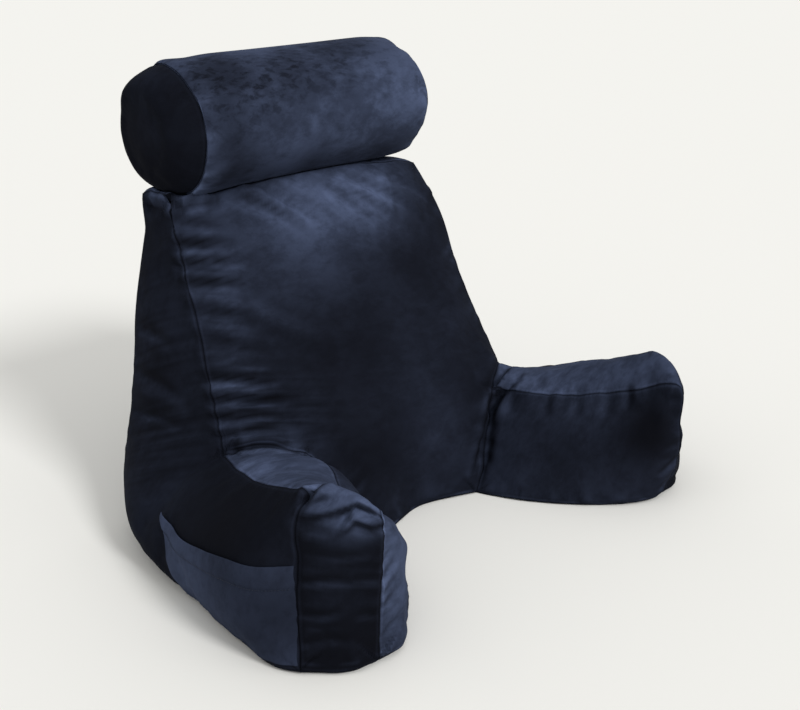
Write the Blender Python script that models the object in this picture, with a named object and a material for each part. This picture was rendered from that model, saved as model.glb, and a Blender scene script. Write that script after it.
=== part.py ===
"""Reading pillow with arms: a filled back-and-arms cushion, a patch pocket and a neck roll."""
import math

import bmesh
import bpy
from mathutils import Vector
from mathutils.bvhtree import BVHTree

# Lengths are metres. X runs across the pillow, Y from the arms' front ends towards the rear,
# and Z up from the floor. Left is -X.

# The tables below are drawn from this point of the floor; the finished pillow is moved so that
# the middle of its footprint lies on the origin.
FOOTPRINT_CENTRE = (-0.0015, 0.28954)

SMOOTHING_LEVELS = 4
BODY_TRIANGLE_SHARE = 0.088

VELOUR = (0.014, 0.020, 0.045)
ROLL_VELOUR = (0.016, 0.023, 0.050)
POCKET_VELOUR = (0.020, 0.029, 0.062)
VELOUR_ROUGHNESS = 0.9

# Neck roll.
ROLL_RADIUS = 0.089
ROLL_HALF_LENGTH = 0.198
ROLL_END_CROWNS = (0.050, 0.021)
ROLL_TILT = 0.028
ROLL_AXIS = (0.500, 0.534)
ROLL_SHIFT = -0.002
SEAT_GAP = 0.0009
ROLL_SIDES = 48
# Outline of one end: share of its crown beyond the end seam, and distance from the axis.
END_OUTLINE = (
    (1.00, 0.000),
    (0.98, 0.024),
    (0.91, 0.045),
    (0.76, 0.062),
    (0.50, 0.0745),
    (0.22, 0.082),
    (0.00, 0.0855),
)
# The tube's outline from its end seam: distance in from the seam, and distance from the axis.
TUBE_OUTLINE = (
    (0.007, 0.0875),
    (0.022, 0.0890),
    (0.060, 0.0895),
    (0.105, 0.0895),
    (0.150, 0.0893),
)

# Back, right half, as (half width, depth, height) from the floor up. The front edge follows
# the arm's root (floor, two points on its side, the crotch), then the lean panel's side seam.
FRONT_EDGE = (
    (0.366, 0.330, 0.001),
    (0.398, 0.330, 0.050),
    (0.350, 0.326, 0.106),
    (0.266, 0.322, 0.135),
    (0.250, 0.365, 0.220),
    (0.239, 0.417, 0.325),
    (0.224, 0.480, 0.433),
)
REAR_EDGE = (
    (0.308, 0.470, 0.001),
    (0.323, 0.492, 0.050),
    (0.303, 0.506, 0.105),
    (0.287, 0.515, 0.150),
    (0.270, 0.522, 0.225),
    (0.245, 0.531, 0.325),
    (0.222, 0.538, 0.425),
)
# Seam between the lean panel and the arm: floor, two points, and the junction with the gusset.
ARM_ROOT = (
    (0.090, 0.200, 0.001),
    (0.128, 0.222, 0.042),
    (0.160, 0.243, 0.086),
    (0.181, 0.255, 0.129),
)
GUSSET_ROOT = (0.226, 0.285, 0.152)
BASE_ROOT = (0.230, 0.270, -0.012)
# Middle of the lean panel's lowest rows, and how far out its half-way points lie.
FRONT_CENTRE = (
    (0.000, 0.233, 0.000),
    (0.000, 0.238, 0.045),
    (0.000, 0.246, 0.088),
    (0.000, 0.262, 0.132),
)
FRONT_HALF_SHARE = 0.52
# Columns from the middle to the side seam, and how far each face swells, and which way.
COLUMN_SHARES = (0.0, 0.30, 0.60, 0.82, 1.0)
FRONT_OUTWARD = (0.0, -0.85, 0.53)
FRONT_CROWN = 0.022
REAR_OUTWARD = (0.0, 0.99, -0.10)
REAR_CROWN = 0.022
REAR_CROWN_FULL_HEIGHT = 0.083
SIDE_CROWN = 0.016
SIDE_FLOOR_CROWN = 0.006
TOP_CROWN = 0.014
TOP_RISE = 0.012
BASE_SAG = 0.008

# Pocket on the left arm's outer side, seen from the side as (depth, height), rear to front.
POCKET_RIM = ((0.314, 0.088), (0.252, 0.085), (0.190, 0.097), (0.128, 0.112), (0.066, 0.119))
POCKET_HALFWAY = ((0.288, 0.050), (0.230, 0.047), (0.172, 0.053), (0.114, 0.060), (0.056, 0.062))
POCKET_FOOT = ((0.256, 0.007), (0.204, 0.006), (0.150, 0.006), (0.098, 0.007), (0.046, 0.012))
POCKET_THICKNESS = 0.002
POCKET_GAP = 0.0008
POCKET_SLACK = 0.0025
POCKET_LIP = 0.004
POCKET_LIP_WIDTH = 0.06
POCKET_LIP_DEPTH = 0.12
POCKET_STEPS = 6
POCKET_ROWS = 9

# Arm loops from the root forward, each with the points of ARM_COLUMNS.
ARM_COLUMNS = ("inner seam", "gusset", "outer seam", "outer high", "outer low",
               "outer floor", "base", "inner floor", "inner low", "inner high")
ARM = (
    ((0.215, 0.169, 0.132), (0.260, 0.190, 0.164), (0.305, 0.212, 0.152), (0.368, 0.235, 0.116),
     (0.406, 0.235, 0.052), (0.376, 0.235, 0.001), (0.250, 0.190, -0.012), (0.113, 0.140, 0.001),
     (0.135, 0.150, 0.045), (0.178, 0.160, 0.092)),
    ((0.250, 0.080, 0.157), (0.290, 0.100, 0.193), (0.326, 0.118, 0.184), (0.384, 0.140, 0.140),
     (0.416, 0.130, 0.056), (0.388, 0.125, 0.001), (0.280, 0.095, -0.012), (0.168, 0.068, 0.001),
     (0.178, 0.068, 0.050), (0.212, 0.070, 0.108)),
    ((0.267, 0.036, 0.172), (0.298, 0.058, 0.206), (0.326, 0.088, 0.194), (0.382, 0.098, 0.140),
     (0.407, 0.080, 0.056), (0.386, 0.070, 0.002), (0.308, 0.045, -0.010), (0.232, 0.013, 0.002),
     (0.232, 0.013, 0.052), (0.234, 0.018, 0.118)),
    ((0.288, -0.017, 0.198), (0.302, 0.010, 0.215), (0.322, 0.056, 0.209), (0.354, 0.066, 0.125),
     (0.362, 0.048, 0.055), (0.372, 0.036, 0.006), (0.338, -0.006, 0.001), (0.294, -0.010, 0.007),
     (0.289, -0.006, 0.052), (0.286, -0.006, 0.115)),
)
RIGHT_ARM_HEIGHT = 0.965
FRONT_FACE_CROWN = 0.012
FRONT_FACE_OUTWARD = (0.55, -0.84, 0.0)

# Puckers below the seam along each arm's top, on its inner face.
PUCKER_SEAM = ((0.190, 0.236, 0.127), (0.262, 0.060, 0.160))
PUCKER_RUN = (-0.020, -0.016, -0.034)
PUCKER_COUNT = 7
PUCKER_WIDTH = 0.007
PUCKER_HEIGHT = -0.003

# Folds fade out over this share of their length beyond each end, and this many widths aside.
FOLD_RUN_OUT = 0.3
FOLD_REACH = 3.0
# Start, end, width, height.
FOLDS = (
    # Across the left arm's front top corner.
    ((-0.338, 0.068, 0.178), (-0.300, 0.033, 0.203), 0.007, -0.007),
    ((-0.335, 0.062, 0.175), (-0.285, 0.008, 0.192), 0.007, 0.005),
    ((-0.314, 0.026, 0.179), (-0.286, -0.003, 0.183), 0.006, -0.006),
    ((-0.327, 0.038, 0.158), (-0.300, 0.010, 0.180), 0.006, 0.004),
    # Across its front end.
    ((-0.352, 0.054, 0.102), (-0.291, -0.004, 0.103), 0.006, -0.004),
    ((-0.312, 0.010, 0.139), (-0.286, -0.010, 0.139), 0.006, -0.004),
    ((-0.357, 0.045, 0.064), (-0.292, -0.005, 0.059), 0.006, -0.003),
    # Pleats at the right arm's root.
    ((0.232, 0.268, 0.141), (0.186, 0.256, 0.131), 0.007, -0.008),
    ((0.192, 0.240, 0.130), (0.168, 0.246, 0.104), 0.007, -0.008),
    # Wrinkles from the lean panel's left seam.
    ((-0.240, 0.452, 0.380), (-0.164, 0.430, 0.370), 0.007, -0.003),
    ((-0.240, 0.445, 0.357), (-0.156, 0.420, 0.354), 0.007, -0.003),
    ((-0.240, 0.415, 0.328), (-0.083, 0.343, 0.232), 0.012, 0.004),
    ((-0.258, 0.366, 0.213), (-0.190, 0.330, 0.200), 0.007, -0.004),
    ((-0.260, 0.352, 0.195), (-0.180, 0.318, 0.188), 0.007, -0.004),
    ((-0.262, 0.342, 0.176), (-0.180, 0.300, 0.170), 0.007, -0.005),
    ((-0.265, 0.335, 0.155), (-0.190, 0.283, 0.153), 0.007, -0.005),
    # Rolled edge of the top strip at its left end, and the trough below it.
    ((-0.240, 0.530, 0.437), (-0.135, 0.464, 0.440), 0.008, 0.009),
    ((-0.225, 0.480, 0.430), (-0.150, 0.463, 0.429), 0.006, -0.005),
)
# Place, radius, push.
SWELLS = (
    ((0.235, 0.450, 0.385), 0.110, (0.009, 0.000, 0.000)),
    ((0.270, 0.260, 0.150), 0.090, (0.000, 0.000, -0.007)),
    ((0.325, 0.060, 0.190), 0.080, (0.000, 0.000, 0.006)),
    ((0.340, 0.000, 0.020), 0.110, (-0.002, 0.014, 0.000)),
    ((-0.222, 0.538, 0.425), 0.036, (-0.007, 0.000, 0.013)),
)


def clear_scene():
    for item in list(bpy.data.objects):
        bpy.data.objects.remove(item, do_unlink=True)


def fabric(name, colour, roughness):
    material = bpy.data.materials.new(name)
    material.use_nodes = True
    shader = material.node_tree.nodes["Principled BSDF"]
    shader.inputs["Base Color"].default_value = (*colour, 1.0)
    shader.inputs["Roughness"].default_value = roughness
    shader.inputs["Metallic"].default_value = 0.0
    return material


class Cage:
    """Coarse quads over the cushion, with the seams kept as creased edges."""

    def __init__(self):
        self.mesh = bmesh.new()
        self.crease = self.mesh.edges.layers.float.new("crease_edge")

    def point(self, place, side=1.0):
        return self.mesh.verts.new((place[0] * side, place[1], place[2]))

    def sheet(self, rows):
        """Joins rows of points, all of one length, with quads."""
        for low, high in zip(rows, rows[1:]):
            for corners in zip(low, low[1:], high[1:], high):
                self.mesh.faces.new(corners)

    def seam(self, points, sharpness=1.0):
        for start, end in zip(points, points[1:]):
            self.mesh.edges.get((start, end))[self.crease] = sharpness


def between(start, end, share, crown=0.0, outward=(0.0, 0.0, 0.0)):
    """A point between two others, swelled outward most at the middle."""
    swell = crown * 4.0 * share * (1.0 - share)
    return Vector(start).lerp(Vector(end), share) + Vector(outward) * swell


def across(cage, centre, edge, crown, outward, shares=COLUMN_SHARES):
    """A row of points from the left edge to the right edge, swelled at the centre."""
    halves = []
    for side in (-1.0, 1.0):
        places = [Vector(centre).lerp(Vector(edge), share)
                  + Vector(outward) * crown * (1.0 - share * share) for share in shares[1:]]
        halves.append([cage.point(place, side) for place in places])
    middle = cage.point(Vector(centre) + Vector(outward) * crown)
    return halves[0][::-1] + [middle] + halves[1]


def lowered(stations, share):
    """The arm's loops with their heights scaled."""
    return [[(x, y, z * share) for x, y, z in station] for station in stations]


def lean_panel_rows(cage):
    """Rows of the front face from the floor up; the fourth also crosses both gusset roots."""
    rows = []
    for centre, root in zip(FRONT_CENTRE, ARM_ROOT):
        half = between(centre, root, FRONT_HALF_SHARE)
        left = [cage.point(root, -1.0), cage.point(half, -1.0)]
        right = [cage.point(half), cage.point(root)]
        rows.append(left + [cage.point(centre)] + right)
    crotch = FRONT_EDGE[3]
    rows[3] = ([cage.point(crotch, -1.0), cage.point(GUSSET_ROOT, -1.0)] + rows[3]
               + [cage.point(GUSSET_ROOT), cage.point(crotch)])
    for edge in FRONT_EDGE[4:]:
        centre = (0.0, edge[1], edge[2])
        rows.append(across(cage, centre, edge, FRONT_CROWN, FRONT_OUTWARD))
    for point, share in zip(rows[6], COLUMN_SHARES[:0:-1] + COLUMN_SHARES):
        point.co.z += TOP_RISE * (1.0 - share * share)
    return rows


def front_middle(station, inner, outer):
    """Middle of the arm's crowned front face between two of its last loop's points."""
    start = Vector(station[ARM_COLUMNS.index(inner)])
    end = Vector(station[ARM_COLUMNS.index(outer)])
    return (start + end) / 2.0 + Vector(FRONT_FACE_OUTWARD) * FRONT_FACE_CROWN


def add_arm(cage, side, root_loop, stations):
    """Loops of ten points from the arm's root to its front end, which is closed by a face."""
    loops = [root_loop]
    for station in stations:
        loops.append([cage.point(place, side) for place in station])
    closed = [loop + loop[:1] for loop in loops]
    cage.sheet(closed)
    (inner_seam, gusset, outer_seam, outer_high, outer_low,
     outer_floor, base, inner_floor, inner_low, inner_high) = loops[-1]
    front_high = cage.point(front_middle(stations[-1], "inner high", "outer high"), side)
    front_low = cage.point(front_middle(stations[-1], "inner low", "outer low"), side)
    cage.sheet([[inner_seam, gusset, outer_seam], [inner_high, front_high, outer_high],
                [inner_low, front_low, outer_low], [inner_floor, base, outer_floor]])
    seams = {name: [loop[ARM_COLUMNS.index(name)] for loop in loops]
             for name in ("inner seam", "outer seam", "inner floor", "outer floor")}
    cage.seam(seams["inner seam"] + [inner_high, inner_low, inner_floor])
    cage.seam(seams["outer seam"] + [outer_high, outer_low, outer_floor])
    cage.seam(seams["inner floor"] + [base])
    cage.seam(seams["outer floor"] + [base])


def cushion_cage():
    """Lean panel, rear, top strip, two sides, two arms and base, joined into one skin."""
    cage = Cage()
    lean = lean_panel_rows(cage)
    rear = []
    for edge in REAR_EDGE:
        crown = REAR_CROWN * min(1.0, edge[2] / REAR_CROWN_FULL_HEIGHT)
        rear.append(across(cage, (0.0, edge[1], edge[2]), edge, crown, REAR_OUTWARD))
    top = []
    for index, (front, back) in enumerate(zip(lean[6], rear[6])):
        rise = TOP_CROWN if 0 < index < 8 else 0.0
        top.append(cage.mesh.verts.new(front.co.lerp(back.co, 0.5) + Vector((0.0, 0.0, rise))))
    base = []
    for side in (-1.0, 1.0):
        column = 0 if side < 0 else -1
        front = [cage.point(place, side) for place in FRONT_EDGE[:3]]
        front += [row[column] for row in lean[3:]]
        back = [row[column] for row in rear]
        middle = []
        for level in range(6):
            crown = SIDE_CROWN if level else SIDE_FLOOR_CROWN
            place = between(front[level].co, back[level].co, 0.5, crown, (side, 0.0, 0.0))
            middle.append(cage.mesh.verts.new(place))
        middle.append(top[column])
        cage.sheet([front, middle, back])
        cage.seam(back)
        cage.seam(front[3:])
        cage.seam([front[0], middle[0], back[0]])
        cage.seam([front[6], middle[6], back[6]])
        root_base = cage.point(BASE_ROOT, side)
        inner = [row[0 if side < 0 else -1] for row in lean[:3]]
        junction = lean[3][2 if side < 0 else 6]
        gusset = lean[3][1 if side < 0 else 7]
        loop = [junction, gusset, front[3], front[2], front[1], front[0], root_base,
                inner[0], inner[1], inner[2]]
        add_arm(cage, side, loop, ARM if side < 0 else lowered(ARM, RIGHT_ARM_HEIGHT))
        cage.seam([inner[0], inner[1], inner[2], junction, gusset, front[3]])
        base.append((front[0], middle[0], root_base))
    cage.sheet([lean[0], lean[1], lean[2], lean[3][2:7]])
    cage.sheet(lean[3:])
    cage.sheet(rear)
    cage.sheet([lean[6], top, rear[6]])
    (left_front, left_mid, left_base), (right_front, right_mid, right_base) = base
    base_front = [left_front, left_base] + lean[0] + [right_base, right_front]
    base_mid = [left_mid]
    for front, back in zip(base_front[1:-1], rear[0][1:-1]):
        middle = front.co.lerp(back.co, 0.5) - Vector((0.0, 0.0, BASE_SAG))
        base_mid.append(cage.mesh.verts.new(middle))
    base_mid.append(right_mid)
    cage.sheet([base_front, base_mid, rear[0]])
    cage.seam(lean[0])
    cage.seam(lean[6])
    cage.seam(rear[6])
    cage.seam(rear[0])
    bmesh.ops.recalc_face_normals(cage.mesh, faces=cage.mesh.faces[:])
    return cage.mesh


def fold(mesh, folds):
    """Ridges (positive height) and troughs along straight runs over the surface."""
    for start, end, width, height in folds:
        first = Vector(start)
        run = Vector(end) - first
        for vertex in mesh.verts:
            share = (vertex.co - first).dot(run) / run.length_squared
            if -FOLD_RUN_OUT < share < 1.0 + FOLD_RUN_OUT:
                away = (vertex.co - first - run * min(max(share, 0.0), 1.0)).length / width
                if away < FOLD_REACH:
                    along = (share + FOLD_RUN_OUT) / (1.0 + 2.0 * FOLD_RUN_OUT)
                    rise = height * math.sin(math.pi * along) * math.exp(-away * away)
                    vertex.co += vertex.normal * rise


def seam_puckers(side):
    """Evenly spaced short folds leaving a seam, a little longer and shorter by turns."""
    start, end = (Vector((x * side, y, z)) for x, y, z in PUCKER_SEAM)
    run = Vector((PUCKER_RUN[0] * side, PUCKER_RUN[1], PUCKER_RUN[2]))
    folds = []
    for index in range(PUCKER_COUNT):
        place = start.lerp(end, (index + 0.5) / PUCKER_COUNT)
        length = 0.8 + 0.35 * math.sin(2.4 * index + 0.7)
        folds.append((place, place + run * length, PUCKER_WIDTH, PUCKER_HEIGHT))
    return folds


def swell(mesh, swells):
    """Soft local pushes that make the two sides uneven."""
    for place, radius, push in swells:
        centre = Vector(place)
        for vertex in mesh.verts:
            reach = (vertex.co - centre).length / radius
            if reach < 1.0:
                vertex.co += Vector(push) * (1.0 - reach * reach) ** 2


def settle(mesh, seat_radius):
    """Presses the underside flat on the floor and the top into the neck roll's seat."""
    axis_depth = ROLL_AXIS[0]
    for vertex in mesh.verts:
        vertex.co.z = max(vertex.co.z, 0.0)
        axis_height = ROLL_AXIS[1] + ROLL_TILT * vertex.co.x
        offset = Vector((vertex.co.y - axis_depth, vertex.co.z - axis_height))
        if offset.length < seat_radius and abs(vertex.co.x) < ROLL_HALF_LENGTH + ROLL_END_CROWNS[1]:
            offset.length = seat_radius
            vertex.co.y = axis_depth + offset.x
            vertex.co.z = axis_height + offset.y


def smoothed(cage_mesh, name, levels):
    """The cage's subdivision surface as an object of its own."""
    mesh = bpy.data.meshes.new(name)
    cage_mesh.to_mesh(mesh)
    item = bpy.data.objects.new(name, mesh)
    bpy.context.scene.collection.objects.link(item)
    smoothing = item.modifiers.new("Smoothing", "SUBSURF")
    smoothing.levels = levels
    smoothing.render_levels = levels
    return item


def evaluated_bmesh(item):
    """The item's mesh with its modifiers applied."""
    view = bpy.context.evaluated_depsgraph_get()
    mesh = bmesh.new()
    mesh.from_mesh(item.evaluated_get(view).to_mesh())
    return mesh


def cushion_body():
    """The cage smoothed, folded, seated on the floor and under the roll, then thinned."""
    body = smoothed(cushion_cage(), "cushion_body", SMOOTHING_LEVELS)
    shape = evaluated_bmesh(body)
    body.modifiers.clear()
    swell(shape, SWELLS)
    shape.normal_update()
    fold(shape, FOLDS)
    fold(shape, seam_puckers(-1.0))
    fold(shape, seam_puckers(1.0))
    settle(shape, ROLL_RADIUS + SEAT_GAP)
    shape.to_mesh(body.data)
    thinning = body.modifiers.new("Thinning", "DECIMATE")
    thinning.ratio = BODY_TRIANGLE_SHARE
    body.data.materials.append(fabric("velour", VELOUR, VELOUR_ROUGHNESS))
    return body


def smooth_row(points):
    """Points along a smooth curve through the given ones."""
    padded = [points[0], *points, points[-1]]
    places = []
    for a, b, c, d in zip(padded, padded[1:], padded[2:], padded[3:]):
        for step in range(POCKET_STEPS):
            t = step / POCKET_STEPS
            places.append(tuple(
                0.5 * (2.0 * q + (r - p) * t + (2.0 * p - 5.0 * q + 4.0 * r - s) * t * t
                       + (3.0 * q - p - 3.0 * r + s) * t * t * t)
                for p, q, r, s in zip(a, b, c, d)))
    places.append(points[-1])
    return places


def side_pocket(body):
    """A one-layer grid laid on the arm's outer side, slack at its mouth, then thickened."""
    rows = [smooth_row(POCKET_RIM), smooth_row(POCKET_HALFWAY), smooth_row(POCKET_FOOT)]
    columns = len(rows[0])
    bpy.context.view_layer.update()
    skin = BVHTree.FromBMesh(evaluated_bmesh(body))
    mesh = bmesh.new()
    grid = []
    for down in range(POCKET_ROWS + 1):
        drop = down / POCKET_ROWS
        line = []
        for column in range(columns):
            top, middle, foot = (Vector(row[column]) for row in rows)
            # A parabola through the three rows.
            spot = (top * (1.0 - drop) * (1.0 - 2.0 * drop) + middle * 4.0 * drop * (1.0 - drop)
                    + foot * drop * (2.0 * drop - 1.0))
            place, normal, _, _ = skin.ray_cast((-1.0, spot[0], spot[1]), (1.0, 0.0, 0.0))
            share = column / (columns - 1)
            slack = POCKET_SLACK * math.sin(math.pi * share) * (1.0 - drop) ** 2
            lip = POCKET_LIP * math.exp(-(share / POCKET_LIP_WIDTH) ** 2
                                        - (drop / POCKET_LIP_DEPTH) ** 2)
            line.append(mesh.verts.new(place + normal * (POCKET_GAP + slack + lip)))
        grid.append(line)
    for high, low in zip(grid, grid[1:]):
        for corners in zip(low, low[1:], high[1:], high):
            mesh.faces.new(corners)
    data = bpy.data.meshes.new("side_pocket")
    mesh.to_mesh(data)
    pocket = bpy.data.objects.new("side_pocket", data)
    bpy.context.scene.collection.objects.link(pocket)
    sheet = pocket.modifiers.new("Thickness", "SOLIDIFY")
    sheet.thickness = POCKET_THICKNESS
    sheet.offset = 1.0
    data.materials.append(fabric("pocket velour", POCKET_VELOUR, VELOUR_ROUGHNESS))
    return pocket


def neck_roll():
    """A spun half outline: crowned end, tube, crowned end."""
    half = ROLL_HALF_LENGTH
    left_crown, right_crown = ROLL_END_CROWNS
    places = [(-half - share * left_crown, reach) for share, reach in END_OUTLINE]
    places += [(inset - half, reach) for inset, reach in TUBE_OUTLINE]
    places += [(half - inset, reach) for inset, reach in reversed(TUBE_OUTLINE)]
    places += [(half + share * right_crown, reach) for share, reach in reversed(END_OUTLINE)]
    mesh = bmesh.new()
    points = [mesh.verts.new((along, 0.0, reach)) for along, reach in places]
    edges = [mesh.edges.new(pair) for pair in zip(points, points[1:])]
    bmesh.ops.spin(mesh, geom=points + edges, cent=(0.0, 0.0, 0.0), axis=(1.0, 0.0, 0.0),
                   angle=2.0 * math.pi, steps=ROLL_SIDES, use_merge=True)
    bmesh.ops.remove_doubles(mesh, verts=mesh.verts[:], dist=0.0001)
    bmesh.ops.recalc_face_normals(mesh, faces=mesh.faces[:])
    data = bpy.data.meshes.new("neck_roll")
    mesh.to_mesh(data)
    roll = bpy.data.objects.new("neck_roll", data)
    roll.location = (ROLL_SHIFT, ROLL_AXIS[0], ROLL_AXIS[1])
    roll.rotation_euler = (0.0, -ROLL_TILT, 0.0)
    bpy.context.scene.collection.objects.link(roll)
    data.materials.append(fabric("roll velour", ROLL_VELOUR, VELOUR_ROUGHNESS))
    return roll


def main():
    clear_scene()
    body = cushion_body()
    pieces = (body, side_pocket(body), neck_roll())
    for piece in pieces:
        piece.location.x -= FOOTPRINT_CENTRE[0]
        piece.location.y -= FOOTPRINT_CENTRE[1]


main()
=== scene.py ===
import math

import bmesh
import bpy
import numpy as np
from mathutils import Matrix, Vector
from mathutils.bvhtree import BVHTree
from mathutils.kdtree import KDTree


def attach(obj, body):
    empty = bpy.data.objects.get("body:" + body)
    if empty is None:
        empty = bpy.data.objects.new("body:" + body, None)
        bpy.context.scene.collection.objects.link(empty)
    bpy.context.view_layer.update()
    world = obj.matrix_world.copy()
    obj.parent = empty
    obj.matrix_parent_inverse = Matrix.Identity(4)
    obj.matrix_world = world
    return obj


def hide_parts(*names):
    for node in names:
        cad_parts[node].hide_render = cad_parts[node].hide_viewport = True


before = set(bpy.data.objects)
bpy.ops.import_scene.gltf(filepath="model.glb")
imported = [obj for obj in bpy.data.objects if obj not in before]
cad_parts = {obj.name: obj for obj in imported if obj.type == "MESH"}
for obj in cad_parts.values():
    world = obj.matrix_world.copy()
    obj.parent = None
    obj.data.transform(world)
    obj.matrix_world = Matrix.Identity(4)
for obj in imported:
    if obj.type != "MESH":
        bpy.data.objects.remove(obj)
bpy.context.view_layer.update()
print("frame loaded")


# camera, floor and light

studio = {
    "cameraPlace": (-1.0055, -1.0865, 0.756),
    "cameraPitch": 20.05,  # degrees below level
    "cameraHeading": 43.37,  # degrees from +Y towards +X
    "lens": 50.45,
    "floorSize": 90.0,
    "floorColour": (0.868, 0.862, 0.832),
    "skyColour": (1.0, 1.0, 0.99),
    "skyStrength": 0.73,
    "keyStrength": 1.65,
    "keyFrom": (0.04, -0.80, 0.60),  # direction that the key light comes from
    "keySoftness": 16.0,
}


def buildStudio(values):
    scene = bpy.context.scene
    scene.view_settings.view_transform = "Standard"
    cameraData = bpy.data.cameras.new("camera")
    cameraData.lens = values["lens"]
    cameraData.sensor_width = 36.0
    cameraData.sensor_fit = "HORIZONTAL"
    cameraData.clip_end = 200.0
    camera = bpy.data.objects.new("camera", cameraData)
    camera.location = values["cameraPlace"]
    camera.rotation_euler = (math.radians(90.0 - values["cameraPitch"]), 0.0,
                             -math.radians(values["cameraHeading"]))
    scene.collection.objects.link(camera)
    scene.camera = camera

    mesh = bmesh.new()
    bmesh.ops.create_grid(mesh, x_segments=2, y_segments=2, size=values["floorSize"] / 2.0)
    floor = addPiece("floor", mesh, smooth=False)
    paper, _, shader = newMaterial("floorPaper")
    shader.inputs["Base Color"].default_value = (*values["floorColour"], 1.0)
    shader.inputs["Roughness"].default_value = 0.9
    shader.inputs["Specular IOR Level"].default_value = 0.0
    floor.data.materials.append(paper)

    world = bpy.data.worlds.new("sky")
    world.use_nodes = True
    sky = world.node_tree.nodes["Background"]
    sky.inputs["Color"].default_value = (*values["skyColour"], 1.0)
    sky.inputs["Strength"].default_value = values["skyStrength"]
    scene.world = world

    keyData = bpy.data.lights.new("key", "SUN")
    keyData.energy = values["keyStrength"]
    keyData.angle = math.radians(values["keySoftness"])
    key = bpy.data.objects.new("key", keyData)
    key.rotation_euler = Vector(values["keyFrom"]).to_track_quat("Z", "Y").to_euler()
    scene.collection.objects.link(key)


# shared making

def addPiece(name, mesh, smooth=True):
    data = bpy.data.meshes.new(name)
    mesh.to_mesh(data)
    mesh.free()
    if smooth:
        data.shade_smooth()
    piece = bpy.data.objects.new(name, data)
    bpy.context.scene.collection.objects.link(piece)
    return piece


def applied(piece):  # bakes the piece's modifiers into its mesh
    view = bpy.context.evaluated_depsgraph_get()
    data = bpy.data.meshes.new_from_object(piece.evaluated_get(view))
    piece.modifiers.clear()
    piece.data = data
    return piece


def newMaterial(name):
    material = bpy.data.materials.new(name)
    material.use_nodes = True
    tree = material.node_tree
    return material, tree, tree.nodes["Principled BSDF"]


def fixOrder(mesh):  # of its edges and faces, so that each run makes and fills the same mesh
    mesh.verts.index_update()
    base = len(mesh.verts)

    def number(part):  # made of the numbers of its points
        low, middle, *rest = sorted(vertex.index for vertex in part.verts)
        return float((low * base + middle) * base + (rest[0] if rest else 0))

    for parts in (mesh.edges, mesh.faces):
        parts.sort(key=number)


def smoothed(piece, levels):
    smoothing = piece.modifiers.new("Smoothing", "SUBSURF")
    smoothing.levels = smoothing.render_levels = levels
    return applied(piece)


# cushion cage

panels = {"lean": 0, "side": 1, "gusset": 2, "inner": 3, "rear": 4, "top": 5, "base": 6}

cushion = {
    "footprintCentre": (-0.0015, 0.28954),  # of the tables below, on the floor
    "levels": (3, 1),  # smoothing before and after the cover is filled
    "frontEdge": (  # half width, depth, height: the arm's root, then the lean panel's side seam
        (0.366, 0.330, 0.001), (0.398, 0.330, 0.050), (0.350, 0.326, 0.106), (0.266, 0.322, 0.135),
        (0.250, 0.365, 0.220), (0.239, 0.417, 0.325), (0.224, 0.480, 0.433)),
    "rearEdge": (
        (0.308, 0.470, 0.001), (0.323, 0.492, 0.050), (0.303, 0.506, 0.105), (0.287, 0.515, 0.150),
        (0.270, 0.522, 0.225), (0.245, 0.531, 0.325), (0.222, 0.538, 0.425)),
    "armRoot": (  # seam between the lean panel and the arm, floor up
        (0.090, 0.200, 0.001), (0.128, 0.222, 0.042), (0.160, 0.243, 0.086), (0.181, 0.255, 0.129)),
    "gussetRoot": (0.226, 0.285, 0.152),
    "baseRoot": (0.230, 0.270, -0.012),
    "frontCentre": (
        (0.000, 0.233, 0.000), (0.000, 0.238, 0.045), (0.000, 0.246, 0.088), (0.000, 0.262, 0.132)),
    "frontHalfShare": 0.52,
    "columnShares": (0.0, 0.30, 0.60, 0.82, 1.0),
    "frontOutward": (0.0, -0.85, 0.53),
    "frontCrown": 0.022,
    "rearOutward": (0.0, 0.99, -0.10),
    "rearCrown": 0.022,
    "rearCrownFullHeight": 0.083,
    "sideCrown": 0.016,
    "sideFloorCrown": 0.006,
    "topCrown": 0.014,
    "topRise": 0.012,
    "baseSag": 0.008,
    "armColumns": ("innerSeam", "gusset", "outerSeam", "outerHigh", "outerLow",
                   "outerFloor", "base", "innerFloor", "innerLow", "innerHigh"),
    "armLoops": (
        ((0.215, 0.169, 0.132), (0.260, 0.190, 0.164), (0.305, 0.212, 0.152), (0.368, 0.235, 0.116),
         (0.406, 0.235, 0.052), (0.376, 0.235, 0.001), (0.250, 0.190, -0.012), (0.113, 0.140, 0.001),
         (0.135, 0.150, 0.045), (0.178, 0.160, 0.092)),
        ((0.250, 0.080, 0.157), (0.290, 0.100, 0.193), (0.326, 0.118, 0.184), (0.384, 0.140, 0.140),
         (0.416, 0.130, 0.056), (0.388, 0.125, 0.001), (0.280, 0.095, -0.012), (0.168, 0.068, 0.001),
         (0.178, 0.068, 0.050), (0.212, 0.070, 0.108)),
        ((0.267, 0.036, 0.172), (0.298, 0.058, 0.206), (0.326, 0.088, 0.194), (0.382, 0.098, 0.140),
         (0.407, 0.080, 0.056), (0.386, 0.070, 0.002), (0.308, 0.045, -0.010), (0.232, 0.013, 0.002),
         (0.232, 0.013, 0.052), (0.234, 0.018, 0.118)),
        ((0.288, -0.017, 0.198), (0.302, 0.010, 0.215), (0.322, 0.056, 0.209), (0.354, 0.066, 0.125),
         (0.362, 0.048, 0.055), (0.372, 0.036, 0.006), (0.338, -0.006, 0.001), (0.294, -0.010, 0.007),
         (0.289, -0.006, 0.052), (0.286, -0.006, 0.115))),
    "rightArmHeight": 0.965,
    "frontFaceCrown": 0.012,
    "frontFaceOutward": (0.55, -0.84, 0.0),
}


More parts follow.
